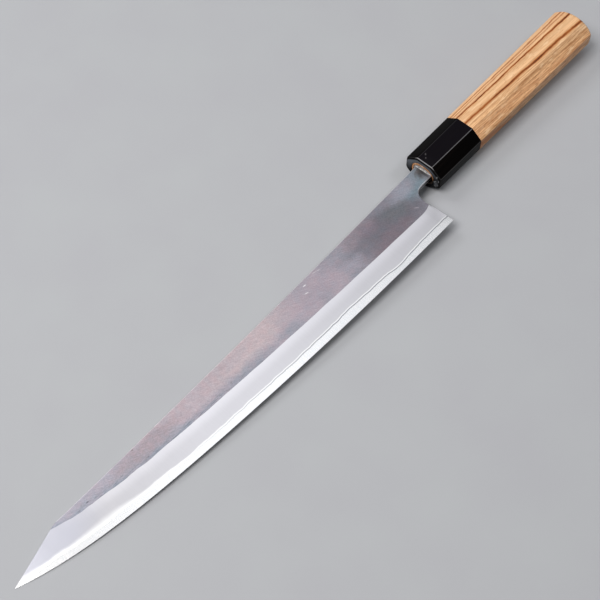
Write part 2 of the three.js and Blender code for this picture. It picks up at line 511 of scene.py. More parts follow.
@dataclass(frozen=True)
class ForgeScale(Finish):
    """Forge scale on soft iron, brushed and oiled: a semi-matt oxide skin, cloudy in mauve and blue-grey."""

    name: str = "forge_scale_brushed"
    mauve: str = "#a39ba3"
    slate: str = "#92939c"
    bright: str = "#e9e7ea"
    # Painted shade: the dark tone laid on the neck's lower wall, under the neck.
    painted_shade: str = "#2b2a2b"
    cool: str = "#b6babf"
    warm: str = "#c3b8ba"
    streak_tone: str = "#858a94"
    stroke_tone: str = "#6b727d"
    cloud: float = 16.0
    cloud_push: Point = (14.0, 12.0, 0.0)
    mottle: float = 3.6
    mottle_strength: float = 0.45
    hairline: Pair = (7.0, 0.4)
    hairline_turn: float = 0.5
    hairline_shade: Change = Change(low=0.72, high=1.28)
    grain: float = 0.7
    grain_shade: Change = Change(low=0.7, high=1.3)
    streak: Pair = (14.0, 2.0)
    streak_window: Change = Change(0.3, 0.6)
    stroke: Pair = (6.0, 0.7)
    stroke_window: Change = Change(0.5, 0.68)
    band_near: Change = Change(-4.7, -0.4)
    band_front: Change = Change(132.0, 176.0)
    handled: Change = Change(90.0, 170.0, 0.75, 0.42)
    bare: Change = Change(0.1, 0.5, high=0.0)
    # Painted shade: darkens the wall along the neck's lower edge, whose inner points carry a rim of -1.
    under_neck_shade: Change = Change(-0.5, -0.1, 0.85, 0.0)
    roughness: Change = Change(low=0.36, high=0.52)
    patches: tuple[Patch, ...] = (
        Patch(148, 0.8, (64, 11), "#b6a9ab", 0.85),
        Patch(200, 0.5, (75, 8), "#a69ba0", 0.85),
        Patch(262, 0.0, (55, 7), "#918e97", 0.85),
        Patch(222, 3.0, (34, 6), "#8d858b", 0.75),
        Patch(100, 4.0, (34, 14), "#a49aa3", 0.6),
        Patch(36, 7.0, (48, 22), "#727078", 1.0),
        Patch(44, 15.0, (26, 6), "#7d7078", 0.6),
        Patch(54, -1.0, (18, 7), "#8f858c", 0.6),
        Patch(71, 9.0, (11, 5), "#9d9ba5", 0.6),
        Patch(29, 4.0, (14, 9), "#6a7074", 0.6),
        Patch(49, 3.0, (9, 6), "#837882", 0.5),
        Patch(10, 0.0, (18, 15), "#7d8c95", 1.0),
        Patch(29, -4.0, (26, 7), "#87868f", 0.75),
        Patch(18, -1.5, (15, 9), "#9d9da7", 0.75),
        Patch(0.6, -0.6, (3.6, 5.5), "#4d4948", 0.85),
        Patch(3.0, -2.0, (3.0, 2.0), "#5f5a58", 0.6),
    )
    flecks_and_mouth_shade: tuple[Patch, ...] = (
        # Painted shade: a dark line across the neck where it goes into the mouth.
        Patch(0.3, 1.6, (1.3, 4.6), "#35312f", 0.75),
        Patch(86.5, -1.6, (1.6, 0.3), "#cfcacf", 0.7, -12),
        Patch(89.0, -2.3, (1.8, 0.3), "#cfcacf", 0.7, -12),
        Patch(98.5, -0.7, (1.5, 0.42), "#e6e3e6", 0.9, -8),
        Patch(101.2, 3.2, (1.7, 0.4), "#dedade", 0.85, -14),
        Patch(20.4, 12.9, (1.6, 0.35), "#b0a8af", 0.7, -50),
        Patch(21.4, 12.2, (1.4, 0.3), "#aaa2a9", 0.6, -50),
        Patch(226, -2.2, (0.9, 0.6), "#6a6266", 0.7),
        Patch(166, 9.2, (1.2, 0.4), "#6e6e76", 0.6),
        Patch(223, 6.3, (1.0, 0.5), "#62646d", 0.7),
        Patch(239, 3.8, (1.5, 0.4), "#6e707a", 0.5),
        Patch(265.5, 1.3, (1.2, 0.45), "#676973", 0.65),
        Patch(259.8, 0.9, (1.2, 0.6), "#555761", 0.8),
        Patch(263.0, 0.2, (0.8, 0.6), "#777983", 0.6),
    )

    def paint(self, board: Board) -> dict[str | int, object]:
        """Works out what fills the shader's sockets: see Finish.paint."""
        place = board.place
        cloud = board.add("TexNoise", {"Vector": place, "Scale": 1 / self.cloud, "Detail": 6.0})
        base = board.add("ValToRGB", {"Fac": cloud}, ((0.38, self.slate), (0.6, self.mauve)))
        centred = {0: cloud.outputs["Color"], 1: (0.5, 0.5, 0.5)}
        wander = board.add("VectorMath", centred, operation="SUBTRACT")
        pushed = board.add("VectorMath", {0: wander, 1: self.cloud_push, 2: place}, operation="MULTIPLY_ADD")
        base = board.patched(base, self.patches, pushed)
        base = self.mottled(board, self.banded(board, base))
        grain = board.add("TexNoise", {"Vector": place, "Scale": 1 / self.grain, "Detail": 3.0})
        base = board.shaded(base, board.add("MapRange", self.grain_shade.over(grain)))
        base = self.wear_and_painted_light(board, board.patched(base, self.flecks_and_mouth_shade))
        rough = board.add("MapRange", self.roughness.over(cloud))
        bump = board.add("Bump", {"Strength": 0.25, "Distance": 0.05 * MM, "Height": grain})
        return {"Base Color": base, "Roughness": rough, "Normal": bump, "Metallic": 0.6}

    def mottled(self, board: Board, base: Feed) -> Feed:
        """Breaks a colour up with small warm and cool blots and slanting wire-brush hairlines.

        Args:
            board: The material in the making.
            base: The colour below.

        Returns:
            The mottled colour.
        """
        blots = board.add("TexNoise", {"Vector": board.place, "Scale": 1 / self.mottle, "Detail": 5.0})
        tones = board.add("ValToRGB", {"Fac": blots}, ((0.36, self.cool), (0.64, self.warm)))
        feeds = {"Factor": self.mottle_strength, 6: base, 7: tones}
        base = board.add("Mix", feeds, data_type="RGBA", blend_type="OVERLAY")
        # Wire-brush lines are finer than the render shows, so they are drawn at 0.4 mm.
        turned = board.add("VectorRotate", {"Vector": board.place, "Angle": self.hairline_turn})
        lines = board.grained(self.hairline, detail=2.0, place=turned, deep=False)
        return board.shaded(base, board.add("MapRange", self.hairline_shade.over(lines)))

    def banded(self, board: Board, base: Feed) -> Feed:
        """Lays the streaky blue-grey band over the scale along the front half of the shinogi.

        Args:
            board: The material in the making.
            base: The colour below.

        Returns:
            The colour with the band on it.
        """
        ridge = board.add("Attribute", attribute_name=Mark.RIDGE.value).outputs["Fac"]
        along = board.add("SeparateXYZ", {"Vector": board.place}).outputs["X"]
        near = board.add("MapRange", self.band_near.over(ridge), **SOFT)
        front = board.add("MapRange", self.band_front.over(along), **SOFT)
        both = board.add("Math", {0: near, 1: front}, operation="MULTIPLY")
        for size, window, tone in (
            (self.streak, self.streak_window, self.streak_tone),
            (self.stroke, self.stroke_window, self.stroke_tone),
        ):
            streaky = board.add("MapRange", window.over(board.grained(size, detail=4.0, deep=False)))
            cover = board.add("Math", {0: both, 1: streaky}, operation="MULTIPLY")
            base = board.laid(base, (cover, tone))
        return base

    def wear_and_painted_light(self, board: Board, base: Feed) -> Feed:
        """Brightens the eased edges, rubbed bare most near the handle, and paints shade under the neck.

        Args:
            board: The material in the making.
            base: The colour of the scale.

        Returns:
            The colour with its worn edges.
        """
        rim = board.add("Attribute", attribute_name=Mark.RIM.value).outputs["Fac"]
        along = board.add("SeparateXYZ", {"Vector": board.place}).outputs["X"]
        handled = board.add("MapRange", self.handled.over(along))
        bare = board.add("MapRange", {**self.bare.over(rim), "To Min": handled})
        under_neck_shade = board.add("MapRange", self.under_neck_shade.over(rim))
        return board.laid(base, (bare, self.bright), (under_neck_shade, self.painted_shade))


@dataclass(frozen=True)
class GroundIron(Finish):
    """Soft iron ground on a wet stone: a pale satin metal with faint stone lines across the bevel."""

    name: str = "soft_iron_stone_ground"
    satin: str = "#d9d8dd"
    shade: str = "#d7d6db"
    # The white above the seam: partly polish next to the core, partly a painted reflection that widens
    # towards the tip.
    polished: str = "#f6f6f6"
    seam: str = "#82838a"
    # Painted sheen: the bevel is lighter just below the shinogi, fading over 6.5 mm.
    ridge_glow: Change = Change(0.0, 6.5, 1.0, 0.84)
    # Painted light along the bevel: greys that lighten it at the heel and shade it towards the tip, as its
    # reflection changes.
    lengthwise: tuple[Pair, ...] = (
        (12.5, 1.3), (15.5, 1.12), (19, 0.94), (80, 0.92), (150, 1.0), (195, 1.0), (258, 0.85), (282, 0.71)
    )
    polish_and_reflection: Pair = (1.6, 0.5)
    reflection_widening: tuple[Pair, ...] = ((212, 0.0), (236, 0.2), (260, 1.2), (280, 0.5), (296, 0.3), (306, 1.0))
    tip_widening: float = 0.6
    tip_softening: float = 2.2
    seam_near: Change = Change(-0.75, -0.42)
    seam_fading: Change = Change(110.0, 225.0, 0.9, 0.1)
    stone_line: Pair = (0.7, 14.0)
    stone_turn: float = 0.35
    cool: tuple[Patch, ...] = (Patch(287, 4.0, (38, 16), "#b0b1bb", 0.85),)
    roughness: Change = Change(low=0.28, high=0.32)

    def paint(self, board: Board) -> dict[str | int, object]:
        """Works out what fills the shader's sockets: see Finish.paint."""
        # Stone lines are about 0.05 mm apart, too fine for the render, so they are drawn at 0.7 mm.
        lines = board.grained(self.stone_line, detail=3.0, deep=False, turn=self.stone_turn)
        base = board.add("ValToRGB", {"Fac": lines}, ((0.35, self.shade), (0.65, self.satin)))
        ridge = board.add("Attribute", attribute_name=Mark.RIDGE.value).outputs["Fac"]
        layer = board.add("Attribute", attribute_name=Mark.LAYER.value).outputs["Fac"]
        along = board.add("SeparateXYZ", {"Vector": board.place}).outputs["X"]
        # Painted sheen below the shinogi, and painted light and shade along the blade.
        falling = board.add("MapRange", self.ridge_glow.over(ridge), **SOFT)
        share = board.add("MapRange", Change(0.0, REACH).over(along))
        ground = board.add("ValToRGB", {"Fac": share}, shades(self.lengthwise))
        base = board.patched(board.shaded(base, falling, ground), self.cool)
        # The white band: polish by the seam, widened towards the tip as a painted reflection.
        reflection_widening = board.add("ValToRGB", {"Fac": share}, shades(self.reflection_widening))
        ends = {}
        for end, start, spread in zip(("From Min", "From Max"), self.polish_and_reflection, (-1, 1)):
            growth = spread * self.tip_softening - self.tip_widening
            ends[end] = board.add("Math", {0: reflection_widening, 1: growth, 2: -start}, operation="MULTIPLY_ADD")
        polish_and_reflection = board.add("MapRange", {"Value": layer, **ends}, **SOFT)
        near = board.add("MapRange", self.seam_near.over(layer))
        fading = board.add("MapRange", self.seam_fading.over(along))
        seam = board.add("Math", {0: near, 1: fading}, operation="MULTIPLY")
        base = board.laid(base, (polish_and_reflection, self.polished), (seam, self.seam))
        rough = board.add("MapRange", self.roughness.over(lines))
        bump = board.add("Bump", {"Strength": 0.05, "Distance": 0.02 * MM, "Height": lines})
        return {"Base Color": base, "Roughness": rough, "Normal": bump, "Metallic": 1.0}


@dataclass(frozen=True)
class HonedSteel(Finish):
    """Hard carbon steel honed on fine stones: near white, greyer at the heel and dark on the tang."""

    name: str = "carbon_steel_honed"
    bright: str = "#f4f4f5"
    shade: str = "#edeff1"
    hone_line: Pair = (0.6, 9.0)
    # Painted shade along the core: greyer at the heel, where its reflection is darker; dark behind the heel.
    lengthwise: tuple[Pair, ...] = ((11.5, 0.25), (12.5, 0.83), (50, 0.77), (85, 0.79), (150, 0.93))
    roughness: Change = Change(low=0.23, high=0.26)

    def paint(self, board: Board) -> dict[str | int, object]:
        """Works out what fills the shader's sockets: see Finish.paint."""
        # Honing lines are finer than the render shows, so they are drawn at 0.6 mm.
        lines = board.grained(self.hone_line, detail=2.0, deep=False)
        base = board.add("ValToRGB", {"Fac": lines}, ((0.35, self.shade), (0.6, self.bright)))
        along = board.add("SeparateXYZ", {"Vector": board.place}).outputs["X"]
        share = board.add("MapRange", Change(0.0, REACH).over(along))
        base = board.shaded(base, board.add("ValToRGB", {"Fac": share}, shades(self.lengthwise)))
        rough = board.add("MapRange", self.roughness.over(lines))
        return {"Base Color": base, "Roughness": rough, "Metallic": 1.0}


@dataclass(frozen=True)
class BuffaloHorn(Finish):
    """Black buffalo horn, filed and polished: deep black, with painted sheen on top and painted edge
    highlights.
    """

    name: str = "buffalo_horn_polished"
    black: str = "#060505"
    strand: str = "#0d0a09"
    # Painted sheen: the top facet's lighter black, where it catches the light.
    top_sheen: str = "#131115"
    # Painted sheen on the front face: a grey, lighter high up and on the spine side, for the light it
    # reflects.
    ground: str = "#5c6066"
    # Painted highlight: the pale tone on the horn's ridges and front rounding.
    wear_and_painted_light: str = "#e4e3e5"
    strand_size: Pair = (40.0, 1.6)
    face_sheen: Change = Change(2.0, 8.5, 0.06, 1.0)
    face_sheen_lift: Change = Change(-9.0, -4.0, 5.5, 0.0)
    top_facet: Change = Change(9.0, 9.3, 0.0, 0.8)
    pit: float = 6.0
    pit_wall: Change = Change(0.04, 0.08)
    roughness: Change = Change(low=0.13, high=0.34)
    scars_and_reflections: tuple[Patch, ...] = (
        Patch(-6.0, -3.4, (1.0, 0.6), "#4e4c4d", 0.8, 40),
        Patch(-4.1, -1.65, (0.8, 0.5), "#4e4c4d", 0.8, 40),
        # Painted reflections: grey strokes on the front face near its corner on the edge side, where the
        # blade's heel shows in the horn.
        Patch(0.0, 9.9, (1.6, 1.9), "#5a5b5f", 0.75, 0, (-0.8, 3.2)),
        Patch(0.0, 9.7, (1.5, 0.6), "#8b8c8f", 0.7, 0, (4.9, 0.9)),
        Patch(-0.4, 11.2, (1.5, 0.5), "#86878a", 0.7, 0, (2.4, 1.4)),
        Patch(-0.4, 11.0, (1.5, 0.6), "#77787b", 0.6, 0, (-1.0, 1.0)),
        Patch(0.0, 9.3, (1.5, 0.9), "#828386", 0.6, 0, (-2.8, 0.7)),
        Patch(0.0, 8.6, (1.5, 0.5), "#a9aaac", 0.8, 0, (0.4, 0.8)),
        Patch(0.0, 9.5, (1.5, 0.5), "#b4b5b7", 0.7, 0, (1.4, 0.5)),
    )

    def paint(self, board: Board) -> dict[str | int, object]:
        """Works out what fills the shader's sockets: see Finish.paint."""
        strands = board.grained(self.strand_size, detail=4.0)
        base = board.add("ValToRGB", {"Fac": strands}, ((0.5, self.black), (0.72, self.strand)))
        face = board.add("Attribute", attribute_name=Mark.FACE.value).outputs["Fac"]
        edge_highlight = board.add("Attribute", attribute_name=Mark.EDGE_HIGHLIGHT.value).outputs["Fac"]
        axes = board.add("SeparateXYZ", {"Vector": board.place}).outputs
        # Painted sheen on the front face, lifted on the spine side and fading low down.
        lift = board.add("MapRange", self.face_sheen_lift.over(axes["Y"]))
        lifted = board.add("Math", {0: axes["Z"], 1: lift}, operation="ADD")
        upper = board.add("MapRange", self.face_sheen.over(lifted))
        face_sheen_cover = board.add("Math", {0: face, 1: upper}, operation="MULTIPLY")
        flat = board.add("MapRange", self.top_facet.over(axes["Z"]))
        base = board.laid(base, (flat, self.top_sheen), (face_sheen_cover, self.ground), (edge_highlight, self.wear_and_painted_light))
        pits = board.add("TexVoronoi", {"Vector": board.place, "Scale": 1 / self.pit})
        wall = board.add("MapRange", self.pit_wall.over(pits))
        return {
            "Base Color": board.patched(base, self.scars_and_reflections),
            "Roughness": board.add("MapRange", self.roughness.over(face)),
            "Normal": board.add("Bump", {"Strength": 0.35, "Distance": 0.12 * MM, "Height": wall}),
            "Specular IOR Level": 0.018,
            "IOR": 1.54,
        }


@dataclass(frozen=True)
class RingPorousWood(Finish):
    """Open-grained ring-porous wood, sanded and oiled: honey tan, with rusty growth lines and short pores."""

    name: str = "ring_porous_wood_oiled"
    honey: str = "#cc9d70"
    pale: str = "#d8ad82"
    cream: str = "#dfb184"
    amber: str = "#d9a678"
    tan: str = "#c29468"
    rust: str = "#a65e26"
    dark: str = "#4c1f06"
    pore: str = "#95592b"
    fleck: str = "#ecc9a0"
    fibre: Pair = (36.0, 0.7)
    fibre_swing: Change = Change(1.1, 1.4, 1.05, 2.2)
    fibre_warmth: Point = (0.8, 1.1, 1.35)
    band: Pair = (45.0, 1.6)
    band_swing: float = 0.45
    pore_size: Pair = (4.0, 0.4)
    pore_limit: Change = Change(1.2, 1.7, 0.64, 0.55)
    pore_wall: float = 0.12
    pore_strength: float = 0.55
    fleck_size: Pair = (8.0, 2.2)
    fleck_shift: Point = (3.0, 1.0, 2.0)
    fleck_shine: Change = Change(0.56, 0.72, 0.0, 0.6)
    layer_width: float = 7.2
    wobble: Pair = (16.0, 9.0)
    wobble_breaks: float = 0.66
    wander: float = 0.32
    line_patch: Pair = (13.0, 5.0)
    line_depth: Change = Change(0.3, 0.65, 0.6, 1.0)
    first_layer: float = -3.0
    last_layer: float = 5.0
    roughness: Change = Change(low=0.45, high=0.65)
    growth_lines: tuple[tuple[float, float, float, float], ...] = (
        (-2.2, 0.04, 0.15, 0.5),
        (-1.4, 0.04, 0.1, 0.5),
        (-0.62, 0.01, 0.055, 0.75),
        (-0.4, 0.01, 0.045, 0.65),
        (-0.05, 0.02, 0.09, 1.0),
        (0.975, 0.028, 0.13, 1.0),
        (2.4, 0.03, 0.12, 0.2),
        (3.6, 0.05, 0.2, 0.5),
    )

    def paint(self, board: Board) -> dict[str | int, object]:
        """Works out what fills the shader's sockets: see Finish.paint."""
        growth = board.add("Attribute", attribute_name=Mark.GROWTH.value).outputs["Fac"]
        wobble = board.grained(self.wobble, detail=7.0, roughness=self.wobble_breaks)
        shaken = board.add("Math", {0: wobble, 1: self.wander, 2: growth}, operation="MULTIPLY_ADD")
        span = Change(self.first_layer + self.wander / 2, self.last_layer + self.wander / 2)
        layer = board.add("MapRange", span.over(shaken))
        tones = board.add("ValToRGB", {"Fac": layer}, self.ramp(self.tones()))
        base = self.streaked(board, tones, growth)
        lines = board.add("ValToRGB", {"Fac": layer}, self.ramp(self.lines()))
        depth = board.add("MapRange", self.line_depth.over(board.grained(self.line_patch, detail=3.0)))
        inked = board.add("Math", {0: lines, 1: depth}, operation="MULTIPLY")
        for half, tone in ((Change(0.0, 0.5), self.rust), (Change(0.5, 1.0), self.dark)):
            base = board.laid(base, (board.add("MapRange", half.over(inked)), tone))
        # Real pores are 0.2 to 0.3 mm wide, under half a pixel, so they are drawn at 0.4 mm.
        dashes = board.grained(self.pore_size, detail=1.0)
        limit = board.add("MapRange", self.pore_limit.over(growth))
        full = board.add("Math", {0: limit, 1: self.pore_wall}, operation="ADD")
        window = {"From Min": limit, "From Max": full, "To Max": self.pore_strength}
        hole = board.add("MapRange", {"Value": dashes, **window})
        bump = {"Strength": 0.3, "Distance": 0.06 * MM, "Height": hole}
        return {
            "Base Color": board.laid(base, (hole, self.pore)),
            "Roughness": board.add("MapRange", self.roughness.over(hole)),
            "Normal": board.add("Bump", bump, invert=True),
            "Specular IOR Level": 0.35,
        }

    def streaked(self, board: Board, base: Feed, growth: Feed) -> Feed:
        """Draws the fibres along a colour, and the pale flecks of the rays across them.

        Args:
            board: The material in the making.
            base: The colour below.
            growth: Each point's growth layer, which the fibres follow.

        Returns:
            The streaked colour.
        """
        axes = board.add("SeparateXYZ", {"Vector": board.place}).outputs
        across = board.add("Math", {0: growth, 1: self.layer_width}, operation="MULTIPLY")
        figured = board.add("CombineXYZ", {"X": axes["X"], "Y": across, "Z": axes["Z"]})
        coarser = board.add("MapRange", self.fibre_swing.over(growth))
        # Fibres are finer than the render shows, so they are drawn at 0.7 mm.
        for size, change in ((self.fibre, coarser), (self.band, self.band_swing)):
            fibres = board.grained(size, detail=4.0, place=figured)
            swing = board.add("Math", {0: fibres, 1: 0.5}, operation="SUBTRACT")
            scaled = board.add("Math", {0: swing, 1: change}, operation="MULTIPLY")
            feeds = {0: scaled, 1: self.fibre_warmth, 2: (1.0, 1.0, 1.0)}
            base = board.shaded(base, board.add("VectorMath", feeds, operation="MULTIPLY_ADD"))
        rays = board.grained(self.fleck_size, detail=2.0, shift=self.fleck_shift)
        return board.laid(base, (board.add("MapRange", self.fleck_shine.over(rays)), self.fleck))

    def ramp(self, layers: Sequence[tuple[float, str | Colour]]) -> list[tuple[float, str | Colour]]:
        """Returns colours over growth layers as places on a colour ramp."""
        span = self.last_layer - self.first_layer
        return [((layer - self.first_layer) / span, colour) for layer, colour in layers]

    def tones(self) -> list[tuple[float, str]]:
        """Returns the wood's broad tones over the growth layers."""
        return [
            (-2.5, self.honey), (-1.2, self.tan), (-0.75, self.cream), (-0.3, self.cream), (0.1, self.honey),
            (0.35, self.pale), (0.64, self.cream), (0.85, self.honey), (1.15, self.tan), (1.3, self.pale),
            (1.7, self.honey), (2.2, self.amber), (2.8, self.amber), (3.4, self.tan), (4.2, self.honey),
        ]

    def lines(self) -> list[tuple[float, Colour]]:
        """Returns how dark each growth line is, with a soft shade on both its sides."""
        stops: list[tuple[float, Colour]] = []
        none = (0.0, 0.0, 0.0, 1.0)
        for middle, half, shade, depth in self.growth_lines:
            dark = (depth,) * 3 + (1.0,)
            stops += [(middle - half - shade, none), (middle - half, dark)]
            stops += [(middle + half, dark), (middle + half + shade, none)]
        return stops


@dataclass(frozen=True)
class DowelWood(Finish):
    """Reddish close-grained wood, sawn and sanded: orange, with painted shade low down and on its edge side.
    """

    name: str = "dowel_wood_sanded"
    orange: str = "#d0915a"
    brown: str = "#97602f"
    # Painted shade on the inner wall of the hollow that holds the resin.
    hollow_shade: str = "#70492f"
    # Painted shade low down and on the edge side, where the mouth lies in shadow.
    painted_shade: str = "#17100c"
    speck: float = 0.6
    low_edge_shade: Change = Change(4.5, 8.0, 0.0, 0.97)
    low_edge_shade_slant: float = -1.5
    hollow_shading: Change = Change(0.5, 0.9, 0.0, 0.8)
    glints: tuple[Patch, ...] = (
        Patch(-0.3, -0.8, (3.0, 1.7), "#ffdcc2", 0.85, 0, (5.7, 0.9)),
        Patch(-0.3, 3.4, (3.0, 1.2), "#f2bd92", 0.7, 0, (4.9, 0.8)),
        Patch(-0.3, -5.6, (3.0, 0.9), "#f0c39c", 0.6, 0, (4.3, 0.9)),
    )

    def paint(self, board: Board) -> dict[str | int, object]:
        """Works out what fills the shader's sockets: see Finish.paint."""
        specks = board.add("TexNoise", {"Vector": board.place, "Scale": 1 / self.speck, "Detail": 3.0})
        base = board.add("ValToRGB", {"Fac": specks}, ((0.35, self.brown), (0.5, self.orange)))
        axes = board.add("SeparateXYZ", {"Vector": board.place}).outputs
        down = {0: axes["Z"], 1: self.low_edge_shade_slant, 2: axes["Y"]}
        low_edge_shade = self.low_edge_shade.over(board.add("Math", down, operation="MULTIPLY_ADD"))
        inner = board.add("Attribute", attribute_name=Mark.FACE.value).outputs["Fac"]
        hollow_shaded = board.add("MapRange", self.hollow_shading.over(inner))
        low_edge_shaded = board.add("MapRange", low_edge_shade, **SOFT)
        base = board.laid(board.patched(base, self.glints), (hollow_shaded, self.hollow_shade), (low_edge_shaded, self.painted_shade))
        bump = board.add("Bump", {"Strength": 0.3, "Distance": 0.05 * MM, "Height": specks})
        return {"Base Color": base, "Roughness": 0.4, "Normal": bump}


@dataclass(frozen=True)
class CastResin(Finish):
    """Filled epoxy, poured and left to set: cloudy grey-white, with painted shade low down where it has drawn
    back.
    """

    name: str = "cast_resin"
    pale: str = "#eceae8"
    grey: str = "#8f8c8a"
    painted_shade: str = "#141211"
    cloud: float = 1.3
    # Painted shade: the resin darkens low down, in the recess where it lies in shadow.
    low_shade: Change = Change(1.5, -1.0, 0.0, 0.95)

    def paint(self, board: Board) -> dict[str | int, object]:
        """Works out what fills the shader's sockets: see Finish.paint."""
        clouds = board.add("TexNoise", {"Vector": board.place, "Scale": 1 / self.cloud, "Detail": 4.0})
        base = board.add("ValToRGB", {"Fac": clouds}, ((0.38, self.grey), (0.62, self.pale)))
        height = board.add("SeparateXYZ", {"Vector": board.place}).outputs["Z"]
        base = board.laid(base, (board.add("MapRange", self.low_shade.over(height)), self.painted_shade))
        bump = board.add("Bump", {"Strength": 0.4, "Distance": 0.15 * MM, "Height": clouds})
        return {"Base Color": base, "Roughness": 0.25, "Normal": bump}


@dataclass(frozen=True)
class FloorPaper(Finish):
    """Matt backdrop paper: a plain pale grey with hardly any tooth."""

    name: str = "backdrop_paper"
    light: str = "#a9abae"
    dark: str = "#a7a8ac"
    tooth: float = 40.0

    def paint(self, board: Board) -> dict[str | int, object]:
        """Works out what fills the shader's sockets: see Finish.paint."""
        fibres = board.add("TexNoise", {"Vector": board.place, "Scale": 1 / self.tooth, "Detail": 3.0})
        base = board.add("ValToRGB", {"Fac": fibres}, ((0.3, self.dark), (0.7, self.light)))
        return {"Base Color": base, "Roughness": 0.9, "Specular IOR Level": 0.15}


@dataclass
class Sheet:
    """One face of the blade as it is seen flat.

    Attributes:
        places: Each point's x and y.
        rims: Each point's distance from the outline that is eased.
        rows: The row that each point belongs to, counted from the spine.
        quads: The points of each face.
    """

    places: list[Pair] = field(default_factory=list)
    rims: list[float] = field(default_factory=list)
    rows: list[int] = field(default_factory=list)
    quads: list[tuple[int, int, int, int]] = field(default_factory=list)

    def column(self, points: Sequence[Point]) -> list[int]:
        """Adds a column of points from the spine down.

        Args:
            points: The x, y and rim distance of each.

        Returns:
            The numbers of the new points.
        """
        start = len(self.places)
        for row, (x, y, rim) in enumerate(points):
            self.places.append((x, y))
            self.rims.append(rim)
            self.rows.append(row)
        return list(range(start, len(self.places)))

    def join(self, left: Sequence[int], right: Sequence[int]) -> None:
        """Adds the quads between two columns, as far as the shorter goes."""
        count = min(len(left), len(right)) - 1
        self.quads.extend((left[at], left[at + 1], right[at + 1], right[at]) for at in range(count))


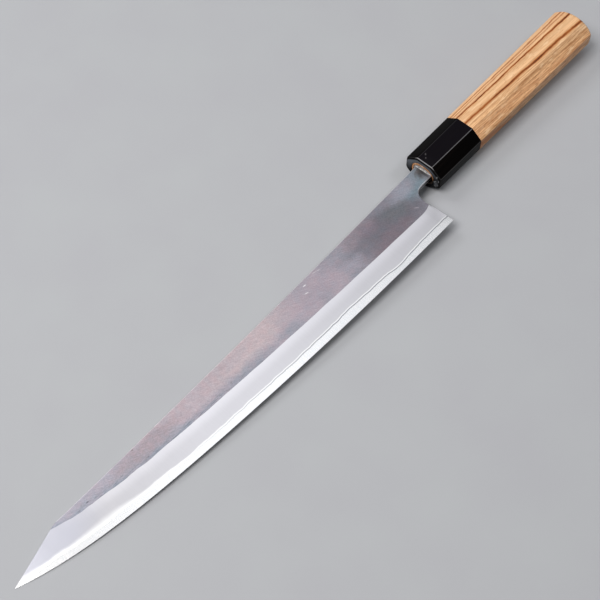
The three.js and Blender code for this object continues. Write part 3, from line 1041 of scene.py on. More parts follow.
@dataclass
class Blade:
    """The laminated blade: a hard core between two soft iron layers, with its neck and tang.

    Attributes:
        bench: Where the knife's frame stands.
        edge_length: Heel to tip.
        heel_x: Where the heel is.
        ease: Radius that the outline's edges are eased to.
        ground_ease: Share of that radius left on the bevel, which is ground after the easing.
        ease_fade: Share of the bevel over which the easing gets that small.
        ease_steps: Distances from the outline of the rows that follow the easing.
        end_reach: How far from heel and tip the columns stand closer.
        neck_steps: Places of the columns on tang and neck.
    """

    bench: Bench
    edge_length: float = 300.0
    heel_x: float = 12.5
    heel_depth: float = 32.3
    belly_rise: float = 16.4
    tip_rise: float = 9.5
    sweep_power: float = 9.0
    neck_half: float = 5.4
    corner_x: float = 278.0
    corner_y: float = -3.3
    corner_round: float = 2.0
    spine_sag: float = 0.93
    choil_lean: float = 2.1
    choil_fillet: float = 7.5
    fillet_steps: int = 12
    shinogi_depth: float = 17.9
    shinogi_rise: float = 15.7
    shinogi_sweep: float = 19.9
    shinogi_power: float = 1.5
    heel_curl: float = 2.6
    heel_curl_length: float = 9.0
    neck_thickness: float = 3.5
    corner_thickness: float = 1.5
    taper_start: float = 8.0
    edge_land: float = 0.24
    bulge: float = -0.03
    tang_length: float = 95.0
    tang_half: float = 3.0
    tang_thickness: float = 2.4
    tang_core: float = 0.5
    ease: float = 0.45
    ground_ease: float = 0.15
    ease_fade: float = 0.125
    ease_steps: tuple[float, ...] = (0.0, 0.06, 0.16, 0.32, 0.55)
    neck_steps: tuple[float, ...] = (-95.0, -64.0, -32.0, 0.0, 0.8, 2.2, 3.8, 5.5)
    flat_rows: int = 8
    choil_rows: int = 4
    bevel_rows: int = 14
    band_rows: int = 5
    full_flat: float = 8.0
    full_height: float = 13.0
    sheared_length: float = 18.0
    sheared_rounds: int = 3
    fine_step: float = 1.0
    coarse_step: float = 1.5
    end_reach: Pair = (24.0, 40.0)
    crisp_degrees: float = 28.0
    shinogi_wave: float = 0.2
    wave_length: float = 11.0
    shinogi_nick: float = 0.9
    nick_length: float = 4.5
    nick_power: int = 4
    shinogi_seed: Pair = (3.0, 0.5)
    layer_seed: Pair = (9.0, 2.5)
    shinogi_lean: tuple[Pair, ...] = ((254.0, 0.0), (270.0, 0.6), (277.0, 0.4), (284.0, 0.0))
    ripple: float = 0.45
    ripple_length: float = 7.0
    jog: float = 0.22
    jog_length: float = 2.6
    reveal: tuple[Pair, ...] = (
        (12.5, 3.8), (32.0, 3.7), (54.0, 2.9), (72.0, 3.9), (90.0, 4.5), (110.0, 4.2),
        (135.0, 3.8), (160.0, 4.1), (180.0, 3.6), (205.0, 3.3), (240.0, 3.9), (280.0, 3.6),
    )

    @property
    def tip_x(self) -> float:
        """Where the tip is."""
        return self.heel_x + self.edge_length

    @property
    def tip_y(self) -> float:
        """How far towards the edge the tip lies."""
        return self.edge(self.tip_x)

    def along(self, x: float) -> float:
        """Returns the share of the edge's length that lies behind x."""
        return clamp((x - self.heel_x) / self.edge_length)

    def edge(self, x: float) -> float:
        """Returns the edge's y at x."""
        share = self.along(x)
        return self.heel_depth - self.belly_rise * share**2 - self.tip_rise * share**self.sweep_power

    def top(self, x: float) -> float:
        """Returns the y of the spine, or of the clip beyond the corner, at x.

        Args:
            x: The place along the blade.

        Returns:
            The outline's y on the spine side.
        """
        if x <= 0:
            return -lerp(self.neck_half, self.tang_half, -x / self.tang_length)
        slope = (self.tip_y - self.corner_y) / (self.tip_x - self.corner_x)
        start = self.corner_x - self.corner_round
        if x >= self.corner_x + self.corner_round:
            return self.corner_y + slope * (x - self.corner_x)
        if x >= start:
            return self.corner_y + slope * (x - start) ** 2 / (4 * self.corner_round)
        share = x / start
        return lerp(-self.neck_half, self.corner_y, share) + 4 * self.spine_sag * share * (1 - share)

    def shinogi(self, x: float, side: Side) -> float:
        """Returns the y of the ridge between flat and bevel.

        Args:
            x: The place along the blade.
            side: Which face; a hand-ground ridge wanders on each, and is rougher towards the tip.

        Returns:
            The ridge's y, which may lie above the clip near the tip.
        """
        share = self.along(x)
        curl = self.heel_curl * (1 - clamp((x - self.heel_x) / self.heel_curl_length)) ** 2
        drop = self.shinogi_rise * share**self.shinogi_power + self.shinogi_sweep * share**self.sweep_power
        wave = through(self.shinogi_lean, x)
        nick = self.shinogi_nick * share**self.nick_power
        seed, depth = self.shinogi_seed
        for size, length in ((self.shinogi_wave, self.wave_length), (nick, self.nick_length)):
            wave += size * noise.noise(Vector((x / length, seed * side.value, depth)))
        return self.shinogi_depth - drop - curl + wave

    def lamination(self, x: float, side: Side) -> float:
        """Returns the y of the wavy line where the core comes out of the iron.

        Args:
            x: The place along the blade.
            side: Which face.

        Returns:
            The line's y, between the outline's two sides.
        """
        edge = self.edge(x)
        height = edge - self.top(x)
        wide = through(self.reveal, x if side is Side.LEFT else self.tip_x + self.heel_x - x)
        seed, depth = self.layer_seed
        for size, length in ((self.ripple, self.ripple_length), (self.jog, self.jog_length)):
            wide += size * noise.noise(Vector((x / length, seed * side.value, depth)))
        return edge - wide * min(1.0, height / self.full_height)

    def thickness(self, x: float) -> float:
        """Returns the blade's thickness above the ridge at x, or the tang's."""
        if x < 0:
            return lerp(self.neck_thickness, self.tang_thickness, -x / self.tang_length)
        share = (x - self.taper_start) / (self.corner_x - self.taper_start)
        return lerp(self.neck_thickness, self.corner_thickness, clamp(share))

    def face(self, x: float, y: float, rim: float, side: Side) -> float:
        """Works out how far the blade's face stands from its middle plane.

        Args:
            x: The place along the blade.
            y: The place across it.
            rim: The distance from the eased outline.
            side: Which face.

        Returns:
            The height above the middle plane.
        """
        half = self.thickness(x) / 2
        ridge = self.shinogi(x, side)
        share = clamp((y - ridge) / max(self.edge(x) - ridge, 1e-6))
        height = lerp(half, self.edge_land / 2, share) + self.bulge * 4 * share * (1 - share)
        radius = min(self.ease, height / 4) * lerp(1.0, self.ground_ease, min(1.0, share / self.ease_fade))
        if rim < radius:
            height -= radius - math.sqrt(max(radius**2 - (radius - rim) ** 2, 0.0))
        return height

    def core(self, x: float, side: Side) -> float:
        """Returns half the core's thickness at x, which the lamination line on the bevel gives."""
        if x < 0:
            return lerp(self.core(0.0, side), self.tang_core, -x / self.tang_length)
        return self.face(x, self.lamination(max(x, self.heel_x), side), self.ease, side)

    def choil(self, y: float) -> float:
        """Returns the x of the choil's line, carried on straight to the spine."""
        top = self.neck_half + self.choil_fillet
        return self.heel_x + self.choil_lean * (self.heel_depth - y) / (self.heel_depth - top)

    @property
    def choil_row(self) -> int:
        """The row that the choil's straight line starts on."""
        return 2 * len(self.ease_steps) + self.flat_rows - 1

    @property
    def ridge_row(self) -> int:
        """The row that lies on the shinogi."""
        return self.choil_row + self.choil_rows

    @property
    def layer_row(self) -> int:
        """The row that lies on the lamination line."""
        return self.ridge_row + self.bevel_rows

    @property
    def last_row(self) -> int:
        """The row that lies on the edge."""
        return self.layer_row + self.band_rows

    def depths(self, x: float, side: Side) -> list[float]:
        """Works out the y of every row at x.

        Args:
            x: The place along the blade.
            side: Which face.

        Returns:
            The rows' y from spine to edge.
        """
        top = self.top(x)
        ridge = max(self.shinogi(x, side), top)
        layer = max(self.lamination(x, side), ridge)
        scale = min(1.0, (ridge - top) / self.full_flat)
        steps = [step * scale for step in self.ease_steps]
        first_top = -self.neck_half
        first_ridge = self.shinogi_depth - self.heel_curl
        share = (self.neck_half + self.choil_fillet - first_top) / (first_ridge - first_top)
        choil = lerp(top, ridge, share)
        rows = [top + step for step in steps]
        start, end = rows[-1], choil - steps[-1]
        rows += [lerp(start, end, (at + 1) / (self.flat_rows + 1)) for at in range(self.flat_rows)]
        rows += [choil - step for step in reversed(steps)]
        for above, below, count in (
            (choil, ridge, self.choil_rows),
            (ridge, layer, self.bevel_rows),
            (layer, self.edge(x), self.band_rows),
        ):
            rows += [lerp(above, below, (at + 1) / count) for at in range(count)]
        return rows

    def stations(self) -> list[float]:
        """Returns the places of the columns from heel to tip, closer at both ends."""
        places = list(self.ease_steps)
        heel_end, tip_end = self.end_reach[0], self.edge_length - self.end_reach[1]
        while places[-1] < self.edge_length - 1e-6:
            near_end = places[-1] < heel_end or places[-1] > tip_end
            step = self.fine_step if near_end else self.coarse_step
            places.append(min(places[-1] + step, self.edge_length))
        return [self.heel_x + place for place in places]

    def sheared(self, station: float, side: Side) -> list[Point]:
        """Lays one column, which follows the choil's slant near the heel.

        Args:
            station: The column's place at the edge.
            side: Which face.

        Returns:
            Each row's x, y and distance from the outline.
        """
        slant = 1 - smooth((station - self.heel_x) / self.sheared_length)
        xs = [station] * (self.last_row + 1)
        ys = self.depths(station, side)
        for _ in range(self.sheared_rounds if slant > 0 else 0):
            xs = [station + (self.choil(y) - self.heel_x) * slant for y in ys]
            ys = [self.depths(x, side)[row] for row, x in enumerate(xs)]
        corner_y = ys[self.choil_row]
        corner_x = self.choil(corner_y)
        points = []
        for row, (x, y) in enumerate(zip(xs, ys)):
            gap = x - self.choil(y)
            if row < self.choil_row:
                gap = math.hypot(x - corner_x, y - corner_y)
            spine_gap = y - self.top(x) + self.ease * clamp((x - self.corner_x) / self.corner_round + 1)
            points.append((x, y, min(spine_gap, gap)))
        return points

    def neck(self, seam: Sequence[Point]) -> list[list[Point]]:
        """Lays the columns of tang and neck, up to the fillet's end at the choil.

        Args:
            seam: The first column of the blade, down to the choil's row.

        Returns:
            The columns, without the seam itself.
        """
        start_y, end_y = seam[0][1], seam[-1][1]
        shares = [(y - start_y) / (end_y - start_y) for _, y, _ in seam]
        fillet_x = seam[-1][0] - self.choil_fillet
        feet = [(x, -self.top(x) if x <= 0 else self.neck_half) for x in self.neck_steps]
        heads = list(self.neck_steps)
        for at in range(self.fillet_steps):
            t = at / self.fillet_steps
            foot_x = fillet_x + self.choil_fillet * (2 * t - t * t)
            feet.append((foot_x, lerp(self.neck_half, end_y, t * t)))
            heads.append(lerp(fillet_x, seam[0][0], t))
        columns = []
        for (foot_x, foot_y), head_x in zip(feet, heads):
            head_y = self.top(head_x)
            length = math.hypot(foot_x - head_x, foot_y - head_y)
            column = []
            for row, place in enumerate(shares):
                if row < len(self.ease_steps):
                    place = self.ease_steps[row] / length
                elif row > self.choil_row - len(self.ease_steps):
                    place = 1 - self.ease_steps[self.choil_row - row] / length
                x, y = lerp(head_x, foot_x, place), lerp(head_y, foot_y, place)
                column.append((x, y, min(place, 1 - place) * length))
            columns.append(column)
        return columns

    def sheet(self, side: Side) -> Sheet:
        """Lays out one face of tang, neck and blade.

        Args:
            side: Which face.

        Returns:
            The face as it is seen flat.
        """
        sheet = Sheet()
        columns = [self.sheared(station, side) for station in self.stations()]
        blade = [sheet.column(column) for column in columns]
        to_choil = self.choil_row + 1
        neck = [sheet.column(column) for column in self.neck(columns[0][:to_choil])]
        neck.append(blade[0][:to_choil])
        for run in (blade, neck):
            for left, right in zip(run, run[1:]):
                sheet.join(left, right)
        return sheet

    def layered(
        self, sheets: tuple[Sheet, Sheet], heights: Sequence[Sequence[float]], last_row: int, side: Side
    ) -> Shell:
        """Makes a closed layer between two faces that are laid out alike.

        Args:
            sheets: The outer face, which the marks belong to, and the inner.
            heights: The heights of both.
            last_row: The last row that the layer takes in.
            side: The side that the outer face looks to.

        Returns:
            The layer's mesh in the making.
        """
        shell = Shell()
        outer = sheets[0]
        count = len(outer.places)
        for sheet, levels in zip(sheets, heights):
            shell.points += [(x, y, z) for (x, y), z in zip(sheet.places, levels)]
        used: dict[tuple[int, int], int] = {}
        for quad in outer.quads:
            if max(outer.rows[at] for at in quad) > last_row:
                continue
            ground = int(min(outer.rows[at] for at in quad) >= self.ridge_row)
            shell.faces += [quad, tuple(count + at for at in reversed(quad))]
            shell.dress += [ground] * 2
            for start, end in zip(quad, quad[1:] + quad[:1]):
                used[start, end] = ground
        for (start, end), ground in used.items():
            if (end, start) not in used:
                shell.faces.append((end, start, count + start, count + end))
                shell.dress.append(ground)
        creases = [float(row in (self.ridge_row, self.layer_row)) for row in outer.rows]
        shell.marks = {
            Mark.RIDGE: [y - self.shinogi(x, side) for x, y in outer.places] * 2,
            Mark.LAYER: [y - self.lamination(x, side) for x, y in outer.places] * 2,
            # Inner points on the choil's row carry a rim of -1, which marks where the cladding paints shade
            # under the neck.
            Mark.RIM: outer.rims + [-float(row == self.choil_row) for row in outer.rows],
            Mark.CREASE: creases + [0.0] * count,
        }
        return shell

    def build(self) -> list[bpy.types.Object]:
        """Builds and dresses the core and both layers of cladding.

        Returns:
            The three pieces.
        """
        iron = (ForgeScale(self.bench).material(), GroundIron(self.bench).material())
        steel = (HonedSteel(self.bench).material(),)
        sheets, bands, pieces = {}, {}, []
        for side, name in ((Side.LEFT, "left_cladding"), (Side.RIGHT, "right_cladding")):
            sheet = sheets[side] = self.sheet(side)
            spots = zip(sheet.places, sheet.rims)
            faces = [side.value * self.face(x, y, rim, side) for (x, y), rim in spots]
            cores = [side.value * self.core(x, side) for x, _ in sheet.places]
            levels = list(zip(faces, cores, sheet.rows))
            outer = [core if row >= self.layer_row else face for face, core, row in levels]
            bands[side] = [core if row <= self.layer_row else face for face, core, row in levels]
            shell = self.layered((sheet, sheet), (outer, cores), self.layer_row, side)
            pieces.append(shell.piece(name, self.bench, iron, "forged_cladding", self.crisp_degrees))
        shell = self.layered(tuple(sheets.values()), tuple(bands.values()), self.last_row, Side.LEFT)
        shell.dress = [0] * len(shell.faces)
        pieces.append(shell.piece("core_steel", self.bench, steel, "core_steel", self.crisp_degrees))
        return pieces


@dataclass
class Handle:
    """The eight-sided handle: horn ferrule and wooden grip on a dowel that resin seals round the tang.

    Attributes:
        bench: Where the knife's frame stands.
        ferrule_length: The horn collar.
        grip_length: The wood behind it.
        first_line: Place and slope of the growth line that is layer 0 on the left face.
        second_line: Place, slope and bend of the one that is layer 1.
        grain_dip: How far the layers lean as they go down.
    """

    bench: Bench
    ferrule_length: float = 37.3
    grip_length: float = 108.0
    height_front: float = 24.2
    height_butt: float = 26.3
    thickness: float = 18.7
    facet_run: float = 7.1
    facet_rise: float = 5.3
    ridge_radius: float = 0.5
    horn_ridge_radius: float = 0.9
    front_ridge_radius: float = 3.2
    # Painted highlights on the horn: strength on each ridge, on the front's top edge and on its sides, and
    # its fade round the front.
    horn_ridge_highlight: tuple[float, ...] = (0.2, 0.03, 0.05, 0.05, 0.05, 0.2, 0.1, 0.08)
    brow_highlight: float = 0.42
    side_highlight: float = 0.03
    brow_fade: tuple[float, ...] = (1.0, 0.1)
    brow_depth: float = 0.5
    front_round: float = 1.4
    joint_chamfer: float = 0.12
    butt_dome: float = 2.6
    butt_power: float = 4.0
    rim_round: float = 0.8
    dowel_half: Pair = (7.65, 6.85)
    fill_half: Pair = (6.85, 5.0)
    fill_shift: float = 0.35
    mouth_inset: float = 0.2
    seal_depth: float = 4.0
    seal_gap: float = 0.1
    seal_dip: float = 0.25
    seal_sink: Point = (0.05, 0.8, 2.6)
    sink_edge: Pair = (0.5, 6.0)
    sink_low: Pair = (1.5, 3.5)
    seal_steps: int = 6
    squareness: float = 2.4
    dowel_reach: float = 20.0
    dowel_end_gap: float = 0.5
    glue_gap: float = 0.15
    slot_mouth: Pair = (5.7, 2.05)
    slot_end: Pair = (3.3, 1.5)
    slot_middle_x: float = -76.0
    tang_length: float = 95.0
    tang_end_gap: float = 3.0
    ridge_steps: int = 4
    facet_steps: int = 4
    round_steps: int = 7
    ferrule_steps: int = 6
    face_steps: int = 4
    face_window: Pair = (0.55, 0.4)
    bore_step: float = 2.0
    grip_steps: int = 27
    dome_steps: int = 12
    crisp_degrees: float = 40.0
    first_line: Pair = (-3.5, -2.1)
    second_line: Point = (5.2, -7.0, 2.0)
    grain_dip: float = 0.32

    @property
    def joint_x(self) -> float:
        """Where ferrule and grip meet."""
        return -self.ferrule_length

    @property
    def butt_x(self) -> float:
        """Where the handle ends."""
        return self.joint_x - self.grip_length

    def half_height(self, x: float) -> float:
        """Returns half the handle's height at x."""
        return lerp(self.height_front, self.height_butt, x / self.butt_x) / 2

    def octagon(self, x: float, inset: float, radius: float) -> list[Pair]:
        """Works out the handle's outline at x, with its ridges rounded.

        Args:
            x: The place along the handle.
            inset: How far every facet is moved in.
            radius: The ridges' radius.

        Returns:
            The outline's y and z, round from the left face's edge-side ridge.
        """
        high, thick = self.half_height(x), self.thickness / 2
        inner_y, inner_z = high - self.facet_run, thick - self.facet_rise
        left = [(inner_y, thick), (-inner_y, thick), (-high, inner_z), (-high, -inner_z)]
        corners = [Vector(c) for c in left] + [-Vector(c) for c in left]
        count = len(corners)
        runs = [(corners[(at + 1) % count] - corners[at]).normalized() for at in range(count)]
        outline: list[Vector] = []
        for at in range(count):
            before, after = runs[at - 1], runs[at]
            turn = before.angle(after)
            inward_before = Vector((-before.y, before.x))
            inward_after = Vector((-after.y, after.x))
            bisector = (inward_before + inward_after).normalized()
            centre = corners[at] + bisector * ((inset + radius) / math.cos(turn / 2))
            for step in range(self.ridge_steps + 1):
                share = step / self.ridge_steps
                out = -(inward_before * math.sin((1 - share) * turn) + inward_after * math.sin(share * turn))
                outline.append(centre + out / math.sin(turn) * radius)
        arc = self.ridge_steps + 1
        full: list[Pair] = []
        for at in range(count):
            full += [tuple(p) for p in outline[at * arc:(at + 1) * arc]]
            start, end = outline[(at + 1) * arc - 1], outline[((at + 1) * arc) % len(outline)]
            for step in range(1, self.facet_steps):
                full.append(tuple(start.lerp(end, step / self.facet_steps)))
        return full

    def angles(self) -> list[float]:
        """Returns the direction of each outline point from the handle's axis."""
        return [math.atan2(z, y) for y, z in self.octagon(0.0, 0.0, self.ridge_radius)]

    def oval(self, half: Pair, grow: float = 0.0, shift: float = 0.0) -> list[Pair]:
        """Works out an oval with a point for each point of the handle's outline.

        Args:
            half: Its half height and half thickness.
            grow: How much is added to both.
            shift: How far its middle lies towards the edge.

        Returns:
            The oval's y and z.
        """
        power = self.squareness
        ring = []
        for angle in self.angles():
            y, z = math.cos(angle), math.sin(angle)
            reach = (abs(y / (half[0] + grow)) ** power + abs(z / (half[1] + grow)) ** power) ** (-1 / power)
            ring.append((y * reach + shift, z * reach))
        return ring

    def slot(self, x: float) -> list[Pair]:
        """Works out the tang's slot at x, with a point for each point of the handle's outline.

        Args:
            x: The place along the handle.

        Returns:
            The slot's y and z.
        """
        share = clamp(-x / self.tang_length)
        high, thick = (lerp(mouth, end, share) for mouth, end in zip(self.slot_mouth, self.slot_end))
        ring = []
        for angle in self.angles():
            y, z = math.cos(angle), math.sin(angle)
            reach = min(high / max(abs(y), 1e-9), thick / max(abs(z), 1e-9))
            ring.append((y * reach, z * reach))
        return ring

    @staticmethod
    def ring(x: float, outline: Sequence[Pair]) -> list[Point]:
        """Returns an outline's points at x."""
        return [(x, y, z) for y, z in outline]

    @staticmethod
    def between(outer: Sequence[Pair], inner: Sequence[Pair], share: float) -> list[Pair]:
        """Returns the outline at a share of the way from one outline to another."""
        return [(lerp(y, b, share), lerp(z, c, share)) for (y, z), (b, c) in zip(outer, inner)]

    def ferrule(self) -> bpy.types.Object:
        """Builds the horn collar with its rounded front and its bore.

        Returns:
            The piece.
        """
        joint, chamfer = self.joint_x, self.joint_chamfer
        rings = [self.ring(joint, self.octagon(joint, chamfer, self.horn_ridge_radius))]
        for at in range(self.ferrule_steps + 1):
            x = lerp(joint + chamfer, -self.front_round, at / self.ferrule_steps)
            rings.append(self.ring(x, self.octagon(x, 0.0, self.horn_ridge_radius)))
        shares = [0.0] * len(rings)
        # Painted highlights: shares of the pale tone along every ridge, then round the front's top edge and
        # sides.
        edge_highlight = self.ridge_highlights() * len(rings)
        brow = self.thickness / 2 - self.brow_depth
        for at in range(1, self.round_steps + 1):
            angle = math.pi / 2 * at / self.round_steps
            x = self.front_round * (math.sin(angle) - 1)
            inset = self.front_round * (1 - math.cos(angle))
            radius = lerp(self.horn_ridge_radius, self.front_ridge_radius, math.sin(angle))
            outline = self.octagon(x, inset, radius)
            rings.append(self.ring(x, outline))
            shares.append(smooth((at / self.round_steps - self.face_window[0]) / self.face_window[1]))
            fade = self.brow_fade[at - 1] if at <= len(self.brow_fade) else 0.0
            edge_highlight += [fade * (self.brow_highlight if z > brow else self.side_highlight) for _, z in outline]
        bore = self.oval(self.dowel_half, self.glue_gap)
        for at in range(1, self.face_steps):
            rings.append(self.ring(0.0, self.between(outline, bore, at / self.face_steps)))
        rings += [self.ring(x, bore) for x in (0.0, -self.bore_step, joint)]
        shares += [1.0] * (len(rings) - len(shares))
        shell = skin(rings, Closing.LOOP)
        shell.marks[Mark.FACE] = [share for share in shares for _ in bore]
        shell.marks[Mark.EDGE_HIGHLIGHT] = edge_highlight + [0.0] * (len(shell.points) - len(edge_highlight))
        return self.piece(shell, "ferrule", BuffaloHorn(self.bench), "horn")

    def piece(self, shell: Shell, name: str, finish: Finish, slot: str) -> bpy.types.Object:
        """Returns a mesh in the making as a piece of the handle, with its finish."""
        return shell.piece(name, self.bench, (finish.material(),), slot, self.crisp_degrees)

    def ridge_highlights(self) -> list[float]:
        """Returns each point's share of the painted highlight on the horn's outline: the middles of its
        ridges.
        """
        points = []
        for edge_highlight in self.horn_ridge_highlight:
            for step in range(self.ridge_steps + 1):
                points.append(edge_highlight * (1 - abs(2 * step / self.ridge_steps - 1)))
            points += [0.0] * (self.facet_steps - 1)
        return points

    def growth(self, point: Point) -> float:
        """Works out which growth layer of the wood a point lies in.

        Args:
            point: A place in the grip.

        Returns:
            Layers, with 0 and 1 on the two boldest lines of the left face.
        """
        x, y, z = point
        share = (x - self.butt_x) / self.grip_length
        first = self.first_line[0] + self.first_line[1] * share
        second = self.second_line[0] + self.second_line[1] * share + self.second_line[2] * share**2
        deep = self.thickness / 2 - z
        return (y + self.grain_dip * deep - first) / (second - first)

    def grip(self) -> bpy.types.Object:
        """Builds the wooden grip with its domed butt, the dowel's socket and the tang's slot.

        Returns:
            The piece.
        """
        joint, chamfer = self.joint_x, self.joint_chamfer
        socket_x = joint - self.dowel_reach - self.dowel_end_gap
        end_x = -self.tang_length - self.tang_end_gap
        rings = [self.ring(x, self.slot(x)) for x in (end_x, self.slot_middle_x, socket_x)]
        bore = self.oval(self.dowel_half, self.glue_gap)
        rings += [self.ring(x, bore) for x in (socket_x, joint)]
        rings.append(self.ring(joint, self.octagon(joint, chamfer, self.ridge_radius)))
        outline = self.octagon(self.butt_x + 2 * self.butt_dome, 0.0, self.ridge_radius)
        stop = joint - self.grip_length + self.butt_dome * 2 + self.rim_round
        for at in range(self.grip_steps + 1):
            x = lerp(joint - chamfer, stop, at / self.grip_steps)
            rings.append(self.ring(x, self.octagon(x, 0.0, self.ridge_radius)))
        for at in range(self.round_steps + 1):
            rings.append([self.rolled(y, z, at / self.round_steps) for y, z in outline])
        for at in range(1, self.dome_steps):
            rings.append([self.domed(y, z, 1 - at / self.dome_steps) for y, z in outline])
        shell = skin(rings, Closing.POLES)
        shell.marks[Mark.GROWTH] = [self.growth(point) for point in shell.points]
        return self.piece(shell, "grip", RingPorousWood(self.bench), "grip_wood")

    def dome(self, y: float, z: float) -> float:
        """Returns the x of the butt's dome over a point of its section."""
        reach = math.hypot(y / (self.height_butt / 2), z / (self.thickness / 2))
        return self.butt_x + self.butt_dome * reach**self.butt_power

    def domed(self, y: float, z: float, scale: float = 1.0) -> Point:
        """Returns a point of the dome at a share of the way out to the rim's rounding.

        Args:
            y: The y of the outline's point that it lies under.
            z: Its z.
            scale: The share of the way from the axis.

        Returns:
            The point on the dome.
        """
        inner = (1 - self.rim_round / math.hypot(y, z)) * scale
        return self.dome(y * inner, z * inner), y * inner, z * inner

    def rolled(self, y: float, z: float, share: float) -> Point:
        """Returns a point of the rim's rounding between the grip's side and its dome.

        Args:
            y: The y of the outline's point.
            z: Its z.
            share: The share of the way round.

        Returns:
            The point on the rounding.
        """
        edge = self.dome(y, z)
        bend = zip((edge + self.rim_round, y, z), (edge, y, z), self.domed(y, z))
        return tuple(lerp(lerp(a, b, share), lerp(b, c, share), share) for a, b, c in bend)

    def dowel(self) -> bpy.types.Object:
        """Builds the tenon between ferrule and grip, hollowed for the resin and slotted for the tang.

        Returns:
            The piece.
        """
        front, floor = -self.mouth_inset, -self.mouth_inset - self.seal_depth
        end = self.joint_x - self.dowel_reach
        outer, hollow = self.oval(self.dowel_half), self.oval(self.fill_half, 0.0, self.fill_shift)
        eased = self.oval(self.dowel_half, -self.joint_chamfer)
        outside = [self.ring(x, outer) for x in (end, self.joint_x, front - self.joint_chamfer)]
        outside.append(self.ring(front, eased))
        inside = [self.ring(x, hollow) for x in (front, floor)]
        inside += [self.ring(x, self.slot(x)) for x in (floor, end)]
        shell = skin(outside + inside, Closing.LOOP)
        counts = [len(rings) * len(outer) for rings in (outside, inside)]
        shell.marks[Mark.FACE] = [0.0] * counts[0] + [1.0] * counts[1]
        return self.piece(shell, "dowel", DowelWood(self.bench), "dowel_wood")

    def sunk(self, y: float, z: float) -> float:
        """Returns how far the resin lies below the dowel's end, most of all low on the edge side."""
        edge_side = smooth((y - self.sink_edge[0]) / self.sink_edge[1])
        low = smooth((self.sink_low[0] - z) / self.sink_low[1])
        return self.seal_sink[0] + edge_side * lerp(self.seal_sink[1], self.seal_sink[2], low)

    def mouth_seal(self) -> bpy.types.Object:
        """Builds the resin plug, whose face sinks a little between dowel and tang.

        Returns:
            The piece.
        """
        front, floor = -self.mouth_inset, -self.mouth_inset - self.seal_depth + self.seal_gap
        outer = self.oval(self.fill_half, -self.seal_gap, self.fill_shift)
        inner = self.slot(front)
        rings = [self.ring(floor, outer)]
        for at in range(self.seal_steps + 1):
            share = at / self.seal_steps
            dip = self.seal_dip * math.sin(math.pi * share)
            spots = self.between(outer, inner, share)
            rings.append([(front - dip - self.sunk(y, z), y, z) for y, z in spots])
        rings.append(self.ring(floor, self.slot(floor)))
        return self.piece(skin(rings, Closing.LOOP), "mouth_seal", CastResin(self.bench), "resin")

    def build(self) -> list[bpy.types.Object]:
        """Builds and dresses the handle's four pieces."""
        return [self.ferrule(), self.grip(), self.dowel(), self.mouth_seal()]


@dataclass(frozen=True)
class Lamp:
    """A rectangular soft light.

    Attributes:
        name: Its name.
        place: Where its middle is.
        aim: What it points at.
        size: Its width and height.
        watts: Its power.
        tint: Its colour.
    """

    name: str
    place: Point
    aim: Point
    size: Pair
    watts: float
    tint: str


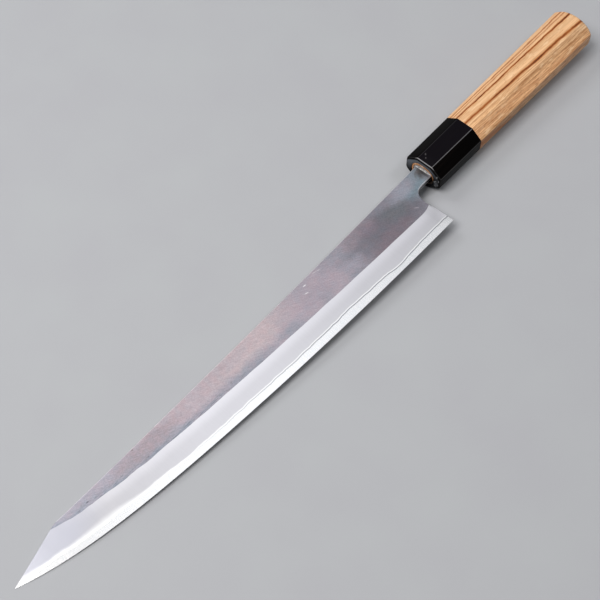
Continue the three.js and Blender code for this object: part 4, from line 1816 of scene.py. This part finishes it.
@dataclass
class Studio:
    """Floor, soft light and camera.

    Attributes:
        bench: Where the knife's frame stands.
        camera_place: Where the lens is.
        camera_aim: The point in the middle of the frame.
        camera_roll: How far the camera leans, in degrees.
        lens: The focal length for the sensor's width.
        ferrule_rest: The x and z where the ferrule touches the floor.
        tip_rest: The x and z where the tip does.
    """

    bench: Bench
    camera_place: Point = (361.0, 238.3, 610.1)
    camera_aim: Point = (106.0, 2.8, 0.0)
    camera_roll: float = -1.13
    lens: float = 79.4
    sensor: float = 36.0
    clip: Pair = (0.01, 50.0)
    floor_reach: float = 4000.0
    floor_steps: int = 24
    ferrule_rest: Pair = (-1.4, -9.35)
    tip_rest: Pair = (312.5, -0.12)
    world: float = 0.16
    lamps: tuple[Lamp, ...] = (
        Lamp("overhead_softbox", (-315, -70, 1300), (-315, -70, 0), (830, 980), 3.0, "#fbfcff"),
        Lamp("tip_end_key", (720, -220, 1350), (-40, 0, 0), (700, 700), 18.0, "#fffdfb"),
        Lamp("spine_side_fill", (120, -950, 1000), (0, 0, 0), (600, 500), 5.0, "#ffffff"),
        Lamp("butt_end_strip", (-800, 560, 1300), (-20, 0, 0), (300, 400), 4.0, "#ffffff"),
    )

    def build(self) -> None:
        """Sets up floor, lights, world and camera."""
        self.floor()
        for lamp in self.lamps:
            self.light(lamp)
        world = bpy.data.worlds.new("dim_studio")
        world.use_nodes = True
        world.node_tree.nodes["Background"].inputs["Color"].default_value = (self.world,) * 3 + (1.0,)
        bpy.context.scene.world = world
        bpy.context.scene.view_settings.view_transform = "Standard"
        self.camera()

    def floor(self) -> None:
        """Lays the floor that the ferrule's lower edge and the blade's tip rest on."""
        (x0, z0), (x1, z1) = self.ferrule_rest, self.tip_rest
        slope = (z1 - z0) / (x1 - x0)
        steps = self.floor_steps
        marks = [self.floor_reach * (2 * at / steps - 1) for at in range(steps + 1)]
        points = [self.bench.row((x, y, z0 + slope * (x - x0))) for y in marks for x in marks]
        width = steps + 1
        starts = [row * width + at for row in range(steps) for at in range(steps)]
        quads = [(at, at + 1, at + width + 1, at + width) for at in starts]
        mesh = bpy.data.meshes.new("floor")
        mesh.from_pydata(points, [], quads)
        mesh.materials.append(FloorPaper(self.bench).material())
        floor = bpy.data.objects.new("floor", mesh)
        bpy.context.scene.collection.objects.link(floor)

    def light(self, lamp: Lamp) -> None:
        """Hangs one soft light.

        Args:
            lamp: The light's place, size and power.
        """
        data = bpy.data.lights.new(lamp.name, "AREA")
        data.shape = "RECTANGLE"
        data.size, data.size_y = lamp.size[0] * MM, lamp.size[1] * MM
        data.energy = lamp.watts
        data.color = linear(lamp.tint)[:3]
        light = bpy.data.objects.new(lamp.name, data)
        place, aim = self.bench.row(lamp.place), self.bench.row(lamp.aim)
        turn = (aim - place).to_track_quat("-Z", "Y").to_matrix().to_4x4()
        light.matrix_world = Matrix.Translation(place) @ turn
        bpy.context.scene.collection.objects.link(light)

    def camera(self) -> None:
        """Sets the camera at the photograph's view."""
        data = bpy.data.cameras.new("camera")
        data.lens = self.lens
        data.sensor_width = self.sensor
        data.clip_start, data.clip_end = self.clip
        place, aim = self.bench.row(self.camera_place), self.bench.row(self.camera_aim)
        ahead = (aim - place).normalized()
        right = ahead.cross(Vector((0, 0, 1))).normalized()
        up = right.cross(ahead)
        roll = math.radians(self.camera_roll)
        leaned = right * math.cos(roll) + up * math.sin(roll)
        turn = Matrix((leaned, leaned.cross(ahead), -ahead)).transposed().to_4x4()
        camera = bpy.data.objects.new("camera", data)
        camera.matrix_world = Matrix.Translation(place) @ turn
        bpy.context.scene.collection.objects.link(camera)
        bpy.context.scene.camera = camera


def main() -> None:
    """Loads the frame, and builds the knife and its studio."""
    logging.basicConfig(level=logging.INFO, format="%(name)s: %(message)s")
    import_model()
    bench = Bench.from_frame()
    Studio(bench).build()
    pieces = Blade(bench).build() + Handle(bench).build()
    LOG.info("%d pieces built", len(pieces))


if __name__ == "__main__":
    main()
